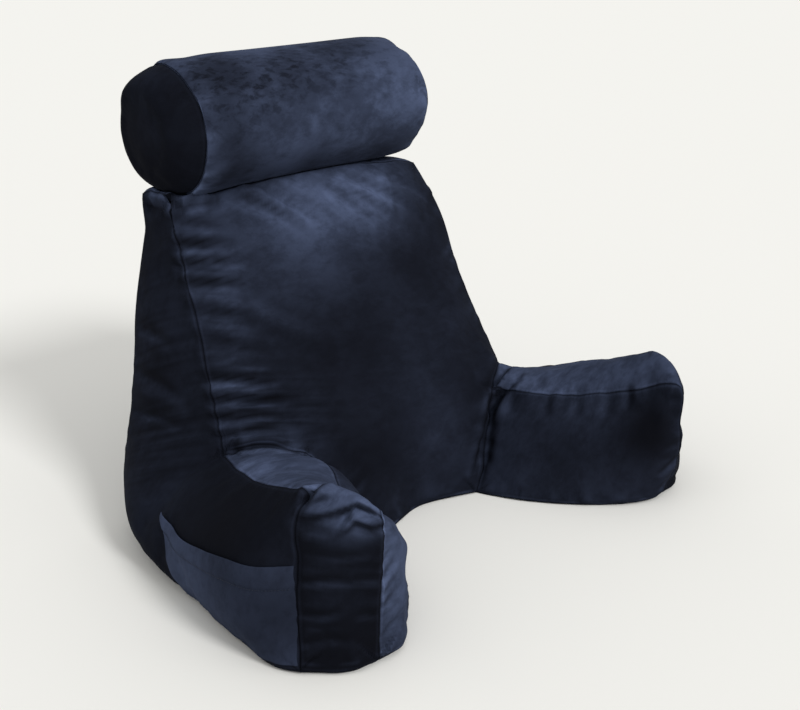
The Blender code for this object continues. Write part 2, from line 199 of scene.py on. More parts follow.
class Cage:  # coarse quads over the cushion: seam edges are creased, faces know their panel
    def __init__(self):
        self.mesh = bmesh.new()
        self.crease = self.mesh.edges.layers.float.new("crease_edge")
        self.panel = self.mesh.faces.layers.int.new("panel")

    def point(self, place, side=1.0):
        return self.mesh.verts.new((place[0] * side, place[1], place[2]))

    def chain(self, points):
        edges = []
        for start, end in zip(points, points[1:]):
            edges.append(self.mesh.edges.get((start, end)) or self.mesh.edges.new((start, end)))
        return edges

    def sheet(self, rows, panel, closed=False):  # panel: one name, or one for each column
        for low, high in zip(rows, rows[1:]):
            ring = [row + row[:1] if closed else row for row in (low, high)]
            edges = self.chain(ring[0]) + self.chain(ring[1])
            made = bmesh.ops.bridge_loops(self.mesh, edges=edges)["faces"]
            for face in made:
                name = panel
                if not isinstance(panel, str):
                    name = next(label for label, a, b in zip(panel, ring[0], ring[0][1:])
                                if a in face.verts and b in face.verts)
                face[self.panel] = panels[name]

    def seam(self, points):
        for edge in self.chain(points):
            edge[self.crease] = 1.0


def between(start, end, share, crown=0.0, outward=(0.0, 0.0, 0.0)):
    swell = crown * 4.0 * share * (1.0 - share)
    return Vector(start).lerp(Vector(end), share) + Vector(outward) * swell


def crossRow(cage, centre, edge, crown, outward):  # from the left edge to the right one
    shares = cushion["columnShares"][1:]
    halves = []
    for side in (-1.0, 1.0):
        places = [Vector(centre).lerp(Vector(edge), share)
                  + Vector(outward) * crown * (1.0 - share * share) for share in shares]
        halves.append([cage.point(place, side) for place in places])
    middle = cage.point(Vector(centre) + Vector(outward) * crown)
    return halves[0][::-1] + [middle] + halves[1]


def leanRows(cage):  # floor up; the fourth row runs on over both gusset roots
    rows = []
    for centre, root in zip(cushion["frontCentre"], cushion["armRoot"]):
        half = between(centre, root, cushion["frontHalfShare"])
        rows.append([cage.point(root, -1.0), cage.point(half, -1.0), cage.point(centre),
                     cage.point(half), cage.point(root)])
    crotch = cushion["frontEdge"][3]
    gusset = cushion["gussetRoot"]
    rows[3] = ([cage.point(crotch, -1.0), cage.point(gusset, -1.0)] + rows[3]
               + [cage.point(gusset), cage.point(crotch)])
    for edge in cushion["frontEdge"][4:]:
        centre = (0.0, edge[1], edge[2])
        rows.append(crossRow(cage, centre, edge, cushion["frontCrown"], cushion["frontOutward"]))
    shares = cushion["columnShares"]
    for point, share in zip(rows[-1], shares[:0:-1] + shares):
        point.co.z += cushion["topRise"] * (1.0 - share * share)
    return rows


def frontMiddle(loop, inner, outer):  # middle of the arm's crowned front face
    columns = cushion["armColumns"]
    start, end = Vector(loop[columns.index(inner)]), Vector(loop[columns.index(outer)])
    return (start + end) / 2.0 + Vector(cushion["frontFaceOutward"]) * cushion["frontFaceCrown"]


def addArm(cage, side, rootLoop, height):
    columns = cushion["armColumns"]
    stations = [[(x, y, z * height) for x, y, z in loop] for loop in cushion["armLoops"]]
    loops = [rootLoop] + [[cage.point(place, side) for place in loop] for loop in stations]
    cage.sheet(loops, ("gusset", "gusset", "side", "side", "side", "base", "base",
                       "inner", "inner", "inner"), closed=True)
    (innerSeam, gusset, outerSeam, outerHigh, outerLow,
     outerFloor, base, innerFloor, innerLow, innerHigh) = loops[-1]
    frontHigh = cage.point(frontMiddle(stations[-1], "innerHigh", "outerHigh"), side)
    frontLow = cage.point(frontMiddle(stations[-1], "innerLow", "outerLow"), side)
    cage.sheet([[innerSeam, gusset, outerSeam], [innerHigh, frontHigh, outerHigh],
                [innerLow, frontLow, outerLow], [innerFloor, base, outerFloor]], "gusset")
    seams = {name: [loop[columns.index(name)] for loop in loops]
             for name in ("innerSeam", "outerSeam", "innerFloor", "outerFloor")}
    cage.seam(seams["innerSeam"] + [innerHigh, innerLow, innerFloor])
    cage.seam(seams["outerSeam"] + [outerHigh, outerLow, outerFloor])
    cage.seam(seams["innerFloor"] + [base])
    cage.seam(seams["outerFloor"] + [base])


def cushionCage():
    cage = Cage()
    lean = leanRows(cage)
    rear = []
    for edge in cushion["rearEdge"]:
        crown = cushion["rearCrown"] * min(1.0, edge[2] / cushion["rearCrownFullHeight"])
        rear.append(crossRow(cage, (0.0, edge[1], edge[2]), edge, crown, cushion["rearOutward"]))
    top = []
    for index, (front, back) in enumerate(zip(lean[-1], rear[-1])):
        rise = cushion["topCrown"] if 0 < index < len(rear[-1]) - 1 else 0.0
        top.append(cage.point(front.co.lerp(back.co, 0.5) + Vector((0.0, 0.0, rise))))
    sides = []
    for side in (-1.0, 1.0):
        column = 0 if side < 0 else -1
        front = [cage.point(place, side) for place in cushion["frontEdge"][:3]]
        front += [row[column] for row in lean[3:]]
        back = [row[column] for row in rear]
        middle = []
        for level in range(len(front) - 1):
            crown = cushion["sideCrown"] if level else cushion["sideFloorCrown"]
            middle.append(cage.point(between(front[level].co, back[level].co, 0.5, crown,
                                             (side, 0.0, 0.0))))
        middle.append(top[column])
        cage.sheet([front, middle, back], "side")
        for seam in (back, front[3:], [front[0], middle[0], back[0]],
                     [front[-1], middle[-1], back[-1]]):
            cage.seam(seam)
        rootBase = cage.point(cushion["baseRoot"], side)
        inner = [row[0 if side < 0 else -1] for row in lean[:3]]
        junction = lean[3][2 if side < 0 else 6]
        gusset = lean[3][1 if side < 0 else 7]
        loop = [junction, gusset, front[3], front[2], front[1], front[0], rootBase,
                inner[0], inner[1], inner[2]]
        addArm(cage, side, loop, 1.0 if side < 0 else cushion["rightArmHeight"])
        cage.seam([inner[0], inner[1], inner[2], junction, gusset, front[3]])
        sides.append((front[0], middle[0], rootBase))
    cage.sheet([lean[0], lean[1], lean[2], lean[3][2:7]], "lean")
    cage.sheet(lean[3:], "lean")
    cage.sheet(rear, "rear")
    cage.sheet([lean[-1], top, rear[-1]], "top")
    (leftFront, leftMiddle, leftBase), (rightFront, rightMiddle, rightBase) = sides
    baseFront = [leftFront, leftBase] + lean[0] + [rightBase, rightFront]
    baseMiddle = [leftMiddle]
    for front, back in zip(baseFront[1:-1], rear[0][1:-1]):
        baseMiddle.append(cage.point(front.co.lerp(back.co, 0.5)
                                     - Vector((0.0, 0.0, cushion["baseSag"]))))
    baseMiddle.append(rightMiddle)
    cage.sheet([baseFront, baseMiddle, rear[0]], "base")
    for seam in (lean[0], lean[-1], rear[-1], rear[0]):
        cage.seam(seam)
    shift = Vector((-cushion["footprintCentre"][0], -cushion["footprintCentre"][1], 0.0))
    bmesh.ops.translate(cage.mesh, vec=shift, verts=cage.mesh.verts[:])
    bmesh.ops.recalc_face_normals(cage.mesh, faces=cage.mesh.faces[:])
    return cage.mesh


# skin: a piece's points as arrays

folding = {  # how a fold spreads over the cloth around its line
    "skinDepth": 0.025,  # height over or under the line at which cloth still follows it
    "overrun": 0.3,  # share of its length that it runs on at each end while it fades
    "shoulder": 0.3,  # share of its height that the cloth beside it gives way
    "shoulderAway": 2.0,  # of its widths
}


class Skin:
    def __init__(self, piece):
        self.data = piece.data
        count = len(self.data.vertices)
        self.points = np.empty(count * 3)
        self.data.vertices.foreach_get("co", self.points)
        self.points = self.points.reshape(-1, 3)
        self.readNormals()

    def readNormals(self):
        self.normals = np.empty(len(self.points) * 3, dtype=np.float32)
        self.data.vertex_normals.foreach_get("vector", self.normals)
        self.normals = self.normals.reshape(-1, 3).astype(float)

    def write(self):
        self.data.vertices.foreach_set("co", self.points.ravel())
        self.data.update()
        self.readNormals()

    def lift(self, heights):
        self.points += self.normals * heights[:, None]

    def fold(self, start, end, width, height, bow=0.0):  # a ridge, or a trough below zero
        first, last = np.array(start), np.array(end)
        run = last - first
        length = np.linalg.norm(run)
        offset = self.points - first
        share = offset @ run / length ** 2
        bend = np.cross(self.normals, run / length) * (bow * 4.0 * share * (1.0 - share))[:, None]
        near = offset - run * np.clip(share, 0.0, 1.0)[:, None] - bend
        deep = np.sum(near * self.normals, axis=1)
        near -= self.normals * np.clip(deep, -folding["skinDepth"], folding["skinDepth"])[:, None]
        away = np.linalg.norm(near, axis=1) / width
        overrun = folding["overrun"]
        fade = np.sin(np.pi * np.clip((share + overrun) / (1.0 + 2.0 * overrun), 0.0, 1.0))
        shoulder = folding["shoulder"] * np.exp(-(away - folding["shoulderAway"]) ** 2)
        self.lift(height * fade * (np.exp(-away ** 2) - shoulder))

    def reach(self, place, radius):  # each point's distance from a place of the tables, in radii
        return np.linalg.norm(self.points - np.array(fromTables(place)), axis=1) / radius

    def attribute(self, name, values):
        layer = self.data.attributes.new(name, "FLOAT", "POINT")
        layer.data.foreach_set("value", np.asarray(values, dtype=np.float32))


def waves(places, spacing, seed):  # smooth uneven ripples along a line, about -1 to 1
    cells = np.floor(places / spacing).astype(int)
    share = places / spacing - cells
    share = share * share * (3.0 - 2.0 * share)

    def knot(index):  # a fixed but disordered value for each whole number
        return np.sin(index * 127.1 + seed * 311.7 + 1.7 * np.sin(index * 12.9898 + seed))

    return knot(cells) * (1.0 - share) + knot(cells + 1) * share


def seamChains(data):  # rows of points along the creased edges, from corner to corner
    crease = data.attributes["crease_edge"].data
    nextTo = {}
    for edge in data.edges:
        if crease[edge.index].value > 0.5:
            for a, b in (edge.vertices, reversed(edge.vertices)):
                nextTo.setdefault(a, []).append(b)
    corners = {point for point, others in nextTo.items() if len(others) != 2}
    walked, chains = set(), []
    for start in sorted(corners) + sorted(nextTo):
        for other in nextTo[start]:
            if (start, other) in walked:
                continue
            chain = [start, other]
            while chain[-1] not in corners and chain[-1] != start:
                chain.append(next(p for p in nextTo[chain[-1]] if p != chain[-2]))
            walked.update(zip(chain, chain[1:]))
            walked.update(zip(chain[1:], chain))
            chains.append(chain)
    return chains


def seamFields(piece):  # each point's distance from its nearest seam, place along it and its run
    points = [vertex.co for vertex in piece.data.vertices]
    stretches = []
    for number, chain in enumerate(seamChains(piece.data)):
        place = float(number)
        for a, b in zip(chain, chain[1:]):
            length = (points[b] - points[a]).length
            stretches.append((points[a], points[b], place, length))
            place += length
    tree = KDTree(len(stretches))
    for index, (a, b, place, length) in enumerate(stretches):
        tree.insert((a + b) / 2.0, index)
    tree.balance()
    away, along, runs = [], [], []
    for point in points:
        best = (9.0, 0.0, 0)
        for spot, index, distance in tree.find_n(point, 3):
            a, b, place, length = stretches[index]
            share = min(max((point - a).dot(b - a) / length ** 2, 0.0), 1.0)
            best = min(best, ((point - a.lerp(b, share)).length, place + share * length, index))
        away.append(best[0])
        along.append(best[1])
        a, b, place, length = stretches[best[2]]
        runs.append((b - a) / length)
    return np.array(away), np.array(along), np.array(runs)


# cushion

filling = {
    "steps": 14,
    "pressure": 4.0,
    "slack": 0.012,  # share by which the cover is larger than its shape
    "cap": 0.008,  # furthest that a point may move
}

puckers = {
    "spacing": 0.016,
    "reach": 0.024,
    "height": 0.0026,
    "seamDepth": 0.0014,
    "seamWidth": 0.0036,
    "wander": 0.0014,  # how far a seam strays from its line
    "wanderSpacing": 0.026,
    "share": {"lean": 1.0, "side": 0.45, "gusset": 0.7, "inner": 0.9, "rear": 0.8,
              "top": 0.8, "base": 0.3},
}

ripples = {  # the same along every seam
    "strayReach": 0.020,
    "fineStray": 0.4,
    "slant": 0.25,  # of the puckers, away from the seam
    "fineHeight": 0.5,
    "fineSpacing": 0.45,
    "reachSwing": (0.5, 1.3),  # share by which the reach swings, over what share of the spacing
    "strength": (0.60, 0.40, 0.11),  # mean, swing, length of a swing
    "seamClear": 0.004,
}

cushionFolds = (  # start, end, width, height, bow
    # pit and creases at the left arm's front top corner
    ((-0.317, 0.066, 0.204), (-0.333, 0.070, 0.184), 0.0046, -0.0075, 0.001),
    ((-0.307, 0.052, 0.205), (-0.331, 0.062, 0.177), 0.0052, 0.0052, 0.002),
    ((-0.316, 0.050, 0.196), (-0.330, 0.060, 0.182), 0.0042, -0.0040, 0.001),
    ((-0.335, 0.068, 0.172), (-0.311, 0.030, 0.190), 0.0046, 0.0052, -0.002),
    ((-0.316, 0.029, 0.175), (-0.302, 0.015, 0.188), 0.0042, -0.0066, 0.001),
    ((-0.303, 0.016, 0.188), (-0.288, -0.004, 0.180), 0.0042, -0.0060, -0.001),
    ((-0.306, 0.016, 0.180), (-0.289, -0.002, 0.173), 0.0050, 0.0045, 0.000),
    ((-0.317, 0.025, 0.163), (-0.308, 0.016, 0.174), 0.0036, 0.0032, 0.000),
    ((-0.336, 0.062, 0.157), (-0.322, 0.040, 0.160), 0.0042, -0.0022, 0.000),
    ((-0.291, 0.004, 0.172), (-0.286, -0.010, 0.166), 0.0030, -0.0030, 0.000),
    # across its front end
    ((-0.353, 0.057, 0.101), (-0.315, 0.018, 0.104), 0.0036, -0.0028, 0.002),
    ((-0.310, 0.014, 0.105), (-0.289, -0.004, 0.104), 0.0036, -0.0014, 0.000),
    ((-0.346, 0.058, 0.135), (-0.300, 0.004, 0.138), 0.0042, -0.0012, -0.002),
    ((-0.360, 0.050, 0.066), (-0.330, 0.018, 0.070), 0.0040, -0.0020, -0.002),
    ((-0.312, 0.008, 0.064), (-0.292, -0.004, 0.061), 0.0040, -0.0014, 0.001),
    ((-0.350, 0.040, 0.034), (-0.322, 0.014, 0.036), 0.0050, -0.0012, 0.002),
    # slanting wrinkles on its inner panel, beside the front seam
    ((-0.286, -0.008, 0.150), (-0.266, 0.014, 0.160), 0.0040, -0.0014, 0.001),
    ((-0.287, -0.008, 0.120), (-0.266, 0.010, 0.130), 0.0040, -0.0014, 0.001),
    ((-0.288, -0.008, 0.098), (-0.264, 0.008, 0.110), 0.0040, -0.0014, 0.000),
    ((-0.289, -0.008, 0.066), (-0.266, 0.008, 0.074), 0.0040, -0.0014, 0.001),
    ((-0.290, -0.008, 0.030), (-0.268, 0.006, 0.038), 0.0040, -0.0014, 0.000),
    # pleats at the right arm's root
    ((0.236, 0.277, 0.142), (0.178, 0.257, 0.128), 0.0074, -0.0120, 0.002),
    ((0.200, 0.240, 0.128), (0.164, 0.246, 0.094), 0.0070, -0.0110, -0.002),
    ((0.216, 0.262, 0.140), (0.186, 0.246, 0.130), 0.0050, 0.0050, 0.001),
    ((0.234, 0.250, 0.143), (0.207, 0.232, 0.136), 0.0056, -0.0034, 0.001),
    ((0.230, 0.206, 0.142), (0.214, 0.196, 0.136), 0.0050, -0.0026, 0.001),
    # short puckers under the right arm's inner seam
    ((0.193, 0.228, 0.130), (0.176, 0.213, 0.100), 0.0070, -0.0026, 0.001),
    ((0.203, 0.202, 0.131), (0.188, 0.187, 0.106), 0.0065, 0.0018, 0.001),
    ((0.214, 0.176, 0.134), (0.195, 0.160, 0.104), 0.0070, -0.0028, -0.001),
    ((0.226, 0.152, 0.140), (0.208, 0.140, 0.112), 0.0060, -0.0018, 0.001),
    ((0.236, 0.138, 0.143), (0.214, 0.120, 0.112), 0.0070, -0.0026, 0.001),
    ((0.249, 0.096, 0.152), (0.231, 0.079, 0.124), 0.0070, -0.0024, 0.001),
    ((0.258, 0.066, 0.160), (0.243, 0.054, 0.138), 0.0055, -0.0028, 0.000),
    # small slanting wrinkles by the right arm's front seam
    ((0.288, -0.008, 0.092), (0.266, 0.008, 0.084), 0.0045, -0.0010, 0.001),
    ((0.289, -0.008, 0.062), (0.262, 0.008, 0.046), 0.0045, -0.0018, 0.001),
    ((0.290, -0.008, 0.034), (0.266, 0.006, 0.018), 0.0045, -0.0018, 0.001),
    # the valley between the lean panel and the right arm
    ((0.176, 0.247, 0.112), (0.104, 0.208, 0.014), 0.0085, -0.0030, 0.000),
    # the lean panel bulges over its seam with the left arm
    ((-0.254, 0.330, 0.151), (-0.174, 0.266, 0.142), 0.0050, 0.0052, 0.002),
    ((-0.256, 0.312, 0.142), (-0.178, 0.244, 0.136), 0.0050, -0.0062, 0.002),
    # wrinkles from the lean panel's left seam
    ((-0.232, 0.470, 0.410), (-0.186, 0.448, 0.398), 0.0060, -0.0026, 0.002),
    ((-0.236, 0.462, 0.396), (-0.190, 0.442, 0.384), 0.0060, 0.0026, 0.002),
    ((-0.240, 0.452, 0.381), (-0.158, 0.430, 0.368), 0.0060, -0.0040, 0.003),
    ((-0.240, 0.449, 0.369), (-0.176, 0.430, 0.359), 0.0055, 0.0030, 0.002),
    ((-0.240, 0.445, 0.357), (-0.156, 0.420, 0.352), 0.0060, -0.0040, -0.003),
    ((-0.240, 0.434, 0.343), (-0.170, 0.412, 0.337), 0.0060, 0.0034, 0.002),
    ((-0.242, 0.424, 0.332), (-0.160, 0.400, 0.320), 0.0055, -0.0026, 0.003),
    ((-0.240, 0.415, 0.322), (-0.083, 0.343, 0.232), 0.0120, 0.0042, 0.006),
    ((-0.243, 0.404, 0.303), (-0.150, 0.372, 0.276), 0.0070, -0.0026, 0.003),
    ((-0.246, 0.390, 0.281), (-0.170, 0.362, 0.262), 0.0070, 0.0026, 0.002),
    ((-0.250, 0.381, 0.262), (-0.196, 0.364, 0.252), 0.0060, -0.0024, 0.002),
    ((-0.254, 0.373, 0.236), (-0.196, 0.350, 0.224), 0.0060, 0.0030, 0.002),
    ((-0.257, 0.366, 0.219), (-0.184, 0.334, 0.206), 0.0055, -0.0046, 0.002),
    ((-0.258, 0.360, 0.208), (-0.172, 0.324, 0.196), 0.0055, 0.0040, 0.002),
    ((-0.260, 0.352, 0.196), (-0.176, 0.318, 0.186), 0.0055, -0.0050, 0.002),
    ((-0.261, 0.347, 0.186), (-0.190, 0.312, 0.179), 0.0050, 0.0038, 0.001),
    ((-0.262, 0.342, 0.176), (-0.178, 0.300, 0.169), 0.0055, -0.0052, -0.002),
    ((-0.264, 0.338, 0.165), (-0.186, 0.292, 0.160), 0.0050, 0.0040, 0.001),
    ((-0.265, 0.335, 0.154), (-0.190, 0.283, 0.151), 0.0050, -0.0050, 0.002),
    ((-0.262, 0.328, 0.146), (-0.200, 0.280, 0.146), 0.0045, 0.0040, 0.001),
    # creases that fan out from under the neck roll
    ((-0.150, 0.462, 0.436), (-0.078, 0.436, 0.396), 0.0070, -0.0036, 0.002),
    ((-0.118, 0.462, 0.442), (-0.050, 0.430, 0.388), 0.0065, 0.0036, 0.003),
    ((-0.083, 0.456, 0.437), (-0.012, 0.424, 0.378), 0.0065, -0.0038, -0.002),
    ((-0.040, 0.453, 0.437), (0.036, 0.416, 0.366), 0.0070, 0.0038, 0.003),
    ((0.000, 0.450, 0.433), (0.080, 0.420, 0.370), 0.0065, -0.0038, 0.002),
    ((0.040, 0.450, 0.430), (0.130, 0.428, 0.376), 0.0065, 0.0040, 0.003),
    ((0.066, 0.450, 0.430), (0.150, 0.436, 0.386), 0.0060, -0.0038, 0.002),
    ((0.128, 0.452, 0.418), (0.186, 0.430, 0.366), 0.0060, 0.0036, 0.002),
    ((0.150, 0.456, 0.424), (0.212, 0.444, 0.384), 0.0060, -0.0036, 0.001),
    # rolled edge of the top strip at its left end, and the trough below it
    ((-0.229, 0.518, 0.440), (-0.221, 0.478, 0.444), 0.0055, 0.0060, 0.0),
    ((-0.221, 0.477, 0.444), (-0.165, 0.460, 0.437), 0.0055, 0.0060, 0.0),
    ((-0.232, 0.520, 0.428), (-0.223, 0.479, 0.433), 0.0045, -0.0065, 0.0),
    ((-0.223, 0.479, 0.433), (-0.158, 0.456, 0.426), 0.0045, -0.0065, 0.001),
    # soft creases low on the left side, and along the arm's outer panel
    ((-0.262, 0.505, 0.200), (-0.262, 0.420, 0.196), 0.0070, -0.0022, 0.003),
    ((-0.266, 0.500, 0.172), (-0.268, 0.400, 0.176), 0.0080, 0.0024, 0.004),
    ((-0.272, 0.490, 0.146), (-0.276, 0.390, 0.154), 0.0070, -0.0024, 0.003),
    ((-0.252, 0.500, 0.262), (-0.252, 0.440, 0.258), 0.0070, -0.0020, 0.002),
    # the same on the right
    ((0.262, 0.505, 0.206), (0.262, 0.420, 0.200), 0.0070, -0.0022, 0.003),
    ((0.270, 0.495, 0.156), (0.274, 0.390, 0.160), 0.0070, -0.0024, 0.003),
    # the back panel, pulled by its seams
    ((0.232, 0.545, 0.380), (0.150, 0.556, 0.366), 0.0080, -0.0026, 0.003),
    ((-0.232, 0.545, 0.360), (-0.160, 0.556, 0.350), 0.0080, -0.0026, -0.003),
    ((0.262, 0.534, 0.250), (0.180, 0.552, 0.244), 0.0080, 0.0026, 0.003),
    ((-0.262, 0.534, 0.226), (-0.186, 0.552, 0.230), 0.0080, 0.0026, 0.003),
    ((-0.290, 0.516, 0.120), (-0.210, 0.530, 0.132), 0.0080, -0.0028, 0.003),
    ((0.290, 0.516, 0.136), (0.214, 0.530, 0.128), 0.0080, -0.0028, 0.003),
)

cushionSwells = (  # place, radius, push
    ((-0.232, 0.522, 0.424), 0.014, (0.0045, -0.0030, 0.0000)),
    ((-0.226, 0.505, 0.446), 0.012, (-0.0030, 0.0010, 0.0015)),
    ((0.235, 0.450, 0.385), 0.110, (0.013, 0.000, 0.000)),
    ((0.270, 0.260, 0.150), 0.090, (0.000, 0.000, -0.007)),
    ((0.296, 0.292, 0.140), 0.075, (0.000, 0.000, -0.010)),
    ((0.325, 0.060, 0.190), 0.080, (0.000, 0.000, 0.006)),
    ((0.340, 0.000, 0.020), 0.110, (-0.002, 0.014, 0.000)),
    ((0.290, -0.005, 0.070), 0.060, (0.006, -0.005, 0.000)),
    ((0.296, -0.012, 0.004), 0.044, (-0.008, 0.009, 0.000)),
    ((0.306, 0.338, 0.126), 0.052, (0.002, 0.004, -0.018)),
    ((0.330, 0.364, 0.104), 0.075, (0.003, 0.000, -0.022)),
    ((0.238, 0.425, 0.330), 0.090, (0.005, 0.000, 0.000)),
    ((0.330, 0.330, 0.110), 0.060, (0.000, 0.000, -0.012)),
    ((-0.222, 0.538, 0.425), 0.036, (-0.007, 0.000, 0.013)),
    ((-0.205, 0.500, 0.440), 0.055, (0.000, 0.000, 0.022)),
    ((0.200, 0.500, 0.440), 0.060, (-0.004, 0.000, 0.004)),
    ((-0.262, 0.532, 0.300), 0.110, (-0.004, 0.002, 0.000)),
    ((-0.236, 0.016, 0.124), 0.052, (0.015, -0.008, 0.000)),
    ((-0.250, 0.020, 0.154), 0.036, (0.011, -0.004, 0.001)),
    ((-0.242, 0.008, 0.062), 0.044, (0.004, -0.006, 0.000)),
    ((-0.206, 0.042, 0.045), 0.050, (-0.006, 0.003, 0.000)),
    ((-0.150, 0.105, 0.010), 0.070, (-0.006, 0.002, 0.000)),
    ((-0.260, 0.002, 0.004), 0.042, (0.003, -0.012, 0.000)),
    ((-0.382, 0.064, 0.004), 0.055, (-0.004, -0.005, 0.000)),
    ((0.340, 0.018, 0.004), 0.040, (-0.005, 0.005, 0.002)),
    ((0.328, 0.018, 0.040), 0.045, (0.003, -0.004, 0.000)),
    ((-0.333, 0.062, 0.168), 0.050, (-0.008, 0.007, 0.000)),
    ((-0.200, 0.185, 0.130), 0.080, (0.012, 0.002, 0.010)),
    ((-0.400, 0.235, 0.030), 0.170, (0.005, 0.000, 0.000)),
)

# how far the nap lies towards the light, with painted light and shade: on each panel, where the cloth
# turns, in brushed patches
napAndLightLevels = {"lean": 0.078, "side": 0.070, "gusset": 0.60, "inner": 0.15, "rear": 0.20,
             "top": 0.42, "base": 0.06}

lightAndShadeShifts = {
    "frontFace": 0.012,  # the gusset where it turns down the arm's front: painted shade
    "frontFrom": 0.35,  # upward share of the normal, there and where the top begins, from painted shade to painted light
    "topFrom": 0.78,
    "lightSide": (-0.25, -0.45, 0.86),  # creases that turn this way get painted light, those turned away get painted shade
    "lowest": 0.005,
    "creaseShade": 2.4,
    "creaseRange": (0.2, 1.6),  # least and greatest share of its level that a crease keeps
    "creaseLight": {"lean": 0.95, "gusset": 0.4, "inner": 0.2, "side": 0.2, "rear": 0.5,
                    "top": 0.6},
    "creaseLightMost": 0.6,
}

cushionLightAndShadePatches = (  # panel, place, radius, change of level: painted light where it rises, painted shade where it falls, together with the nap's own patches
    ("lean", (-0.150, 0.462, 0.435), 0.035, 0.14),
    ("lean", (-0.090, 0.440, 0.412), 0.045, 0.16),
    ("lean", (-0.035, 0.438, 0.410), 0.060, 0.46),
    ("lean", (0.045, 0.440, 0.410), 0.065, 0.50),
    ("lean", (0.125, 0.445, 0.408), 0.060, 0.55),
    ("lean", (-0.165, 0.450, 0.405), 0.060, 0.05),
    ("lean", (-0.185, 0.425, 0.345), 0.060, 0.08),
    ("lean", (-0.100, 0.410, 0.350), 0.070, 0.14),
    ("lean", (-0.020, 0.400, 0.340), 0.060, 0.10),
    ("lean", (-0.205, 0.390, 0.290), 0.050, 0.07),
    ("lean", (-0.230, 0.350, 0.205), 0.034, 0.16),
    ("lean", (-0.234, 0.318, 0.165), 0.030, 0.20),
    ("lean", (-0.195, 0.272, 0.146), 0.026, 0.22),
    ("lean", (-0.212, 0.468, 0.441), 0.012, 0.35),
    ("lean", (-0.190, 0.463, 0.440), 0.016, 0.35),
    ("lean", (-0.212, 0.469, 0.434), 0.007, -0.25),
    ("lean", (-0.195, 0.464, 0.433), 0.007, -0.25),
    ("lean", (-0.175, 0.459, 0.430), 0.007, -0.20),
    ("lean", (0.145, 0.405, 0.335), 0.060, -0.04),
    ("lean", (0.120, 0.330, 0.215), 0.080, 0.03),
    ("lean", (-0.060, 0.330, 0.215), 0.080, -0.03),
    ("lean", (0.050, 0.252, 0.105), 0.060, 0.10),
    ("lean", (-0.095, 0.248, 0.098), 0.055, -0.05),
    ("lean", (0.158, 0.258, 0.100), 0.030, -0.05),
    ("side", (-0.250, 0.490, 0.390), 0.070, -0.02),
    ("side", (-0.380, 0.180, 0.090), 0.150, -0.05),
    ("side", (-0.350, 0.390, 0.070), 0.060, 0.03),
    ("side", (-0.275, 0.520, 0.260), 0.050, 0.03),
    ("side", (-0.262, 0.450, 0.220), 0.040, -0.03),
    ("side", (-0.330, 0.330, 0.100), 0.035, 0.03),
    ("side", (-0.370, 0.250, 0.120), 0.045, 0.03),
    ("gusset", (-0.304, 0.016, 0.184), 0.026, 0.55),
    ("gusset", (-0.318, 0.042, 0.190), 0.028, 0.30),
    ("gusset", (-0.265, 0.221, 0.156), 0.070, 0.28),
    ("gusset", (-0.232, 0.290, 0.148), 0.026, -0.30),
    ("gusset", (-0.196, 0.252, 0.140), 0.024, -0.25),
    ("gusset", (0.230, 0.225, 0.142), 0.060, 0.20),
    ("gusset", (0.290, 0.030, 0.200), 0.100, -0.06),
    ("gusset", (-0.325, 0.030, 0.090), 0.035, 0.04),
    ("inner", (-0.270, 0.000, 0.110), 0.120, 0.44),
    ("inner", (0.200, 0.200, 0.100), 0.060, 0.04),
    ("inner", (0.225, 0.095, 0.120), 0.050, 0.12),
    ("inner", (0.256, 0.030, 0.105), 0.062, -0.17),
    ("inner", (0.185, 0.110, 0.065), 0.055, -0.08),
    ("top", (-0.190, 0.490, 0.440), 0.060, 0.75),
    ("side", (-0.228, 0.512, 0.447), 0.012, 0.80),
    ("side", (-0.222, 0.490, 0.447), 0.013, 0.95),
    ("side", (-0.215, 0.476, 0.445), 0.010, 0.95),
    ("rear", (-0.100, 0.556, 0.330), 0.110, 0.22),
    ("rear", (0.120, 0.556, 0.180), 0.120, -0.12),
    ("rear", (0.060, 0.556, 0.390), 0.080, -0.08),
    ("rear", (-0.140, 0.550, 0.120), 0.090, 0.12),
)

creaseFans = (  # place, radius, strength
    ((-0.110, 0.460, 0.436), 0.042, 0.8),
    ((-0.050, 0.452, 0.428), 0.046, 0.9),
    ((0.030, 0.448, 0.422), 0.050, 1.0),
    ((0.110, 0.450, 0.420), 0.046, 0.9),
    ((0.165, 0.450, 0.412), 0.040, 0.7),
)

longGathers = (  # place, radius, strength
    ((-0.212, 0.452, 0.382), 0.042, 0.7),
    ((-0.212, 0.425, 0.340), 0.042, 0.6),
    ((-0.215, 0.385, 0.275), 0.045, 0.5),
    ((-0.215, 0.352, 0.205), 0.056, 1.15),
    ((-0.205, 0.320, 0.168), 0.058, 1.3),
    ((-0.165, 0.306, 0.172), 0.055, 1.0),
    ((-0.290, 0.420, 0.130), 0.080, 0.9),
    ((-0.262, 0.470, 0.240), 0.070, 0.8),
    ((-0.255, 0.480, 0.310), 0.050, 0.5),
    ((0.290, 0.420, 0.130), 0.080, 0.4),
)

overStitched = (  # along the lean panel's seams with the arms: place, radius, strength
    ((-0.225, 0.300, 0.148), 0.036, 1.0),
    ((-0.180, 0.255, 0.130), 0.036, 1.0),
    ((-0.140, 0.230, 0.070), 0.040, 0.8),
)


def fromTables(place):  # a place in the tables above, on the finished cushion
    x, y = cushion["footprintCentre"]
    return (place[0] - x, place[1] - y, place[2])


def swell(skin, swells):
    for place, radius, push in swells:
        share = np.clip(1.0 - skin.reach(place, radius) ** 2, 0.0, 1.0)
        skin.points += np.array(push) * (share ** 2)[:, None]


def spread(skin, places):  # full strength at the places, fading over their radius
    share = np.zeros(len(skin.points))
    for place, radius, strength in places:
        share = np.maximum(share, strength * np.exp(-skin.reach(place, radius) ** 2))
    return share


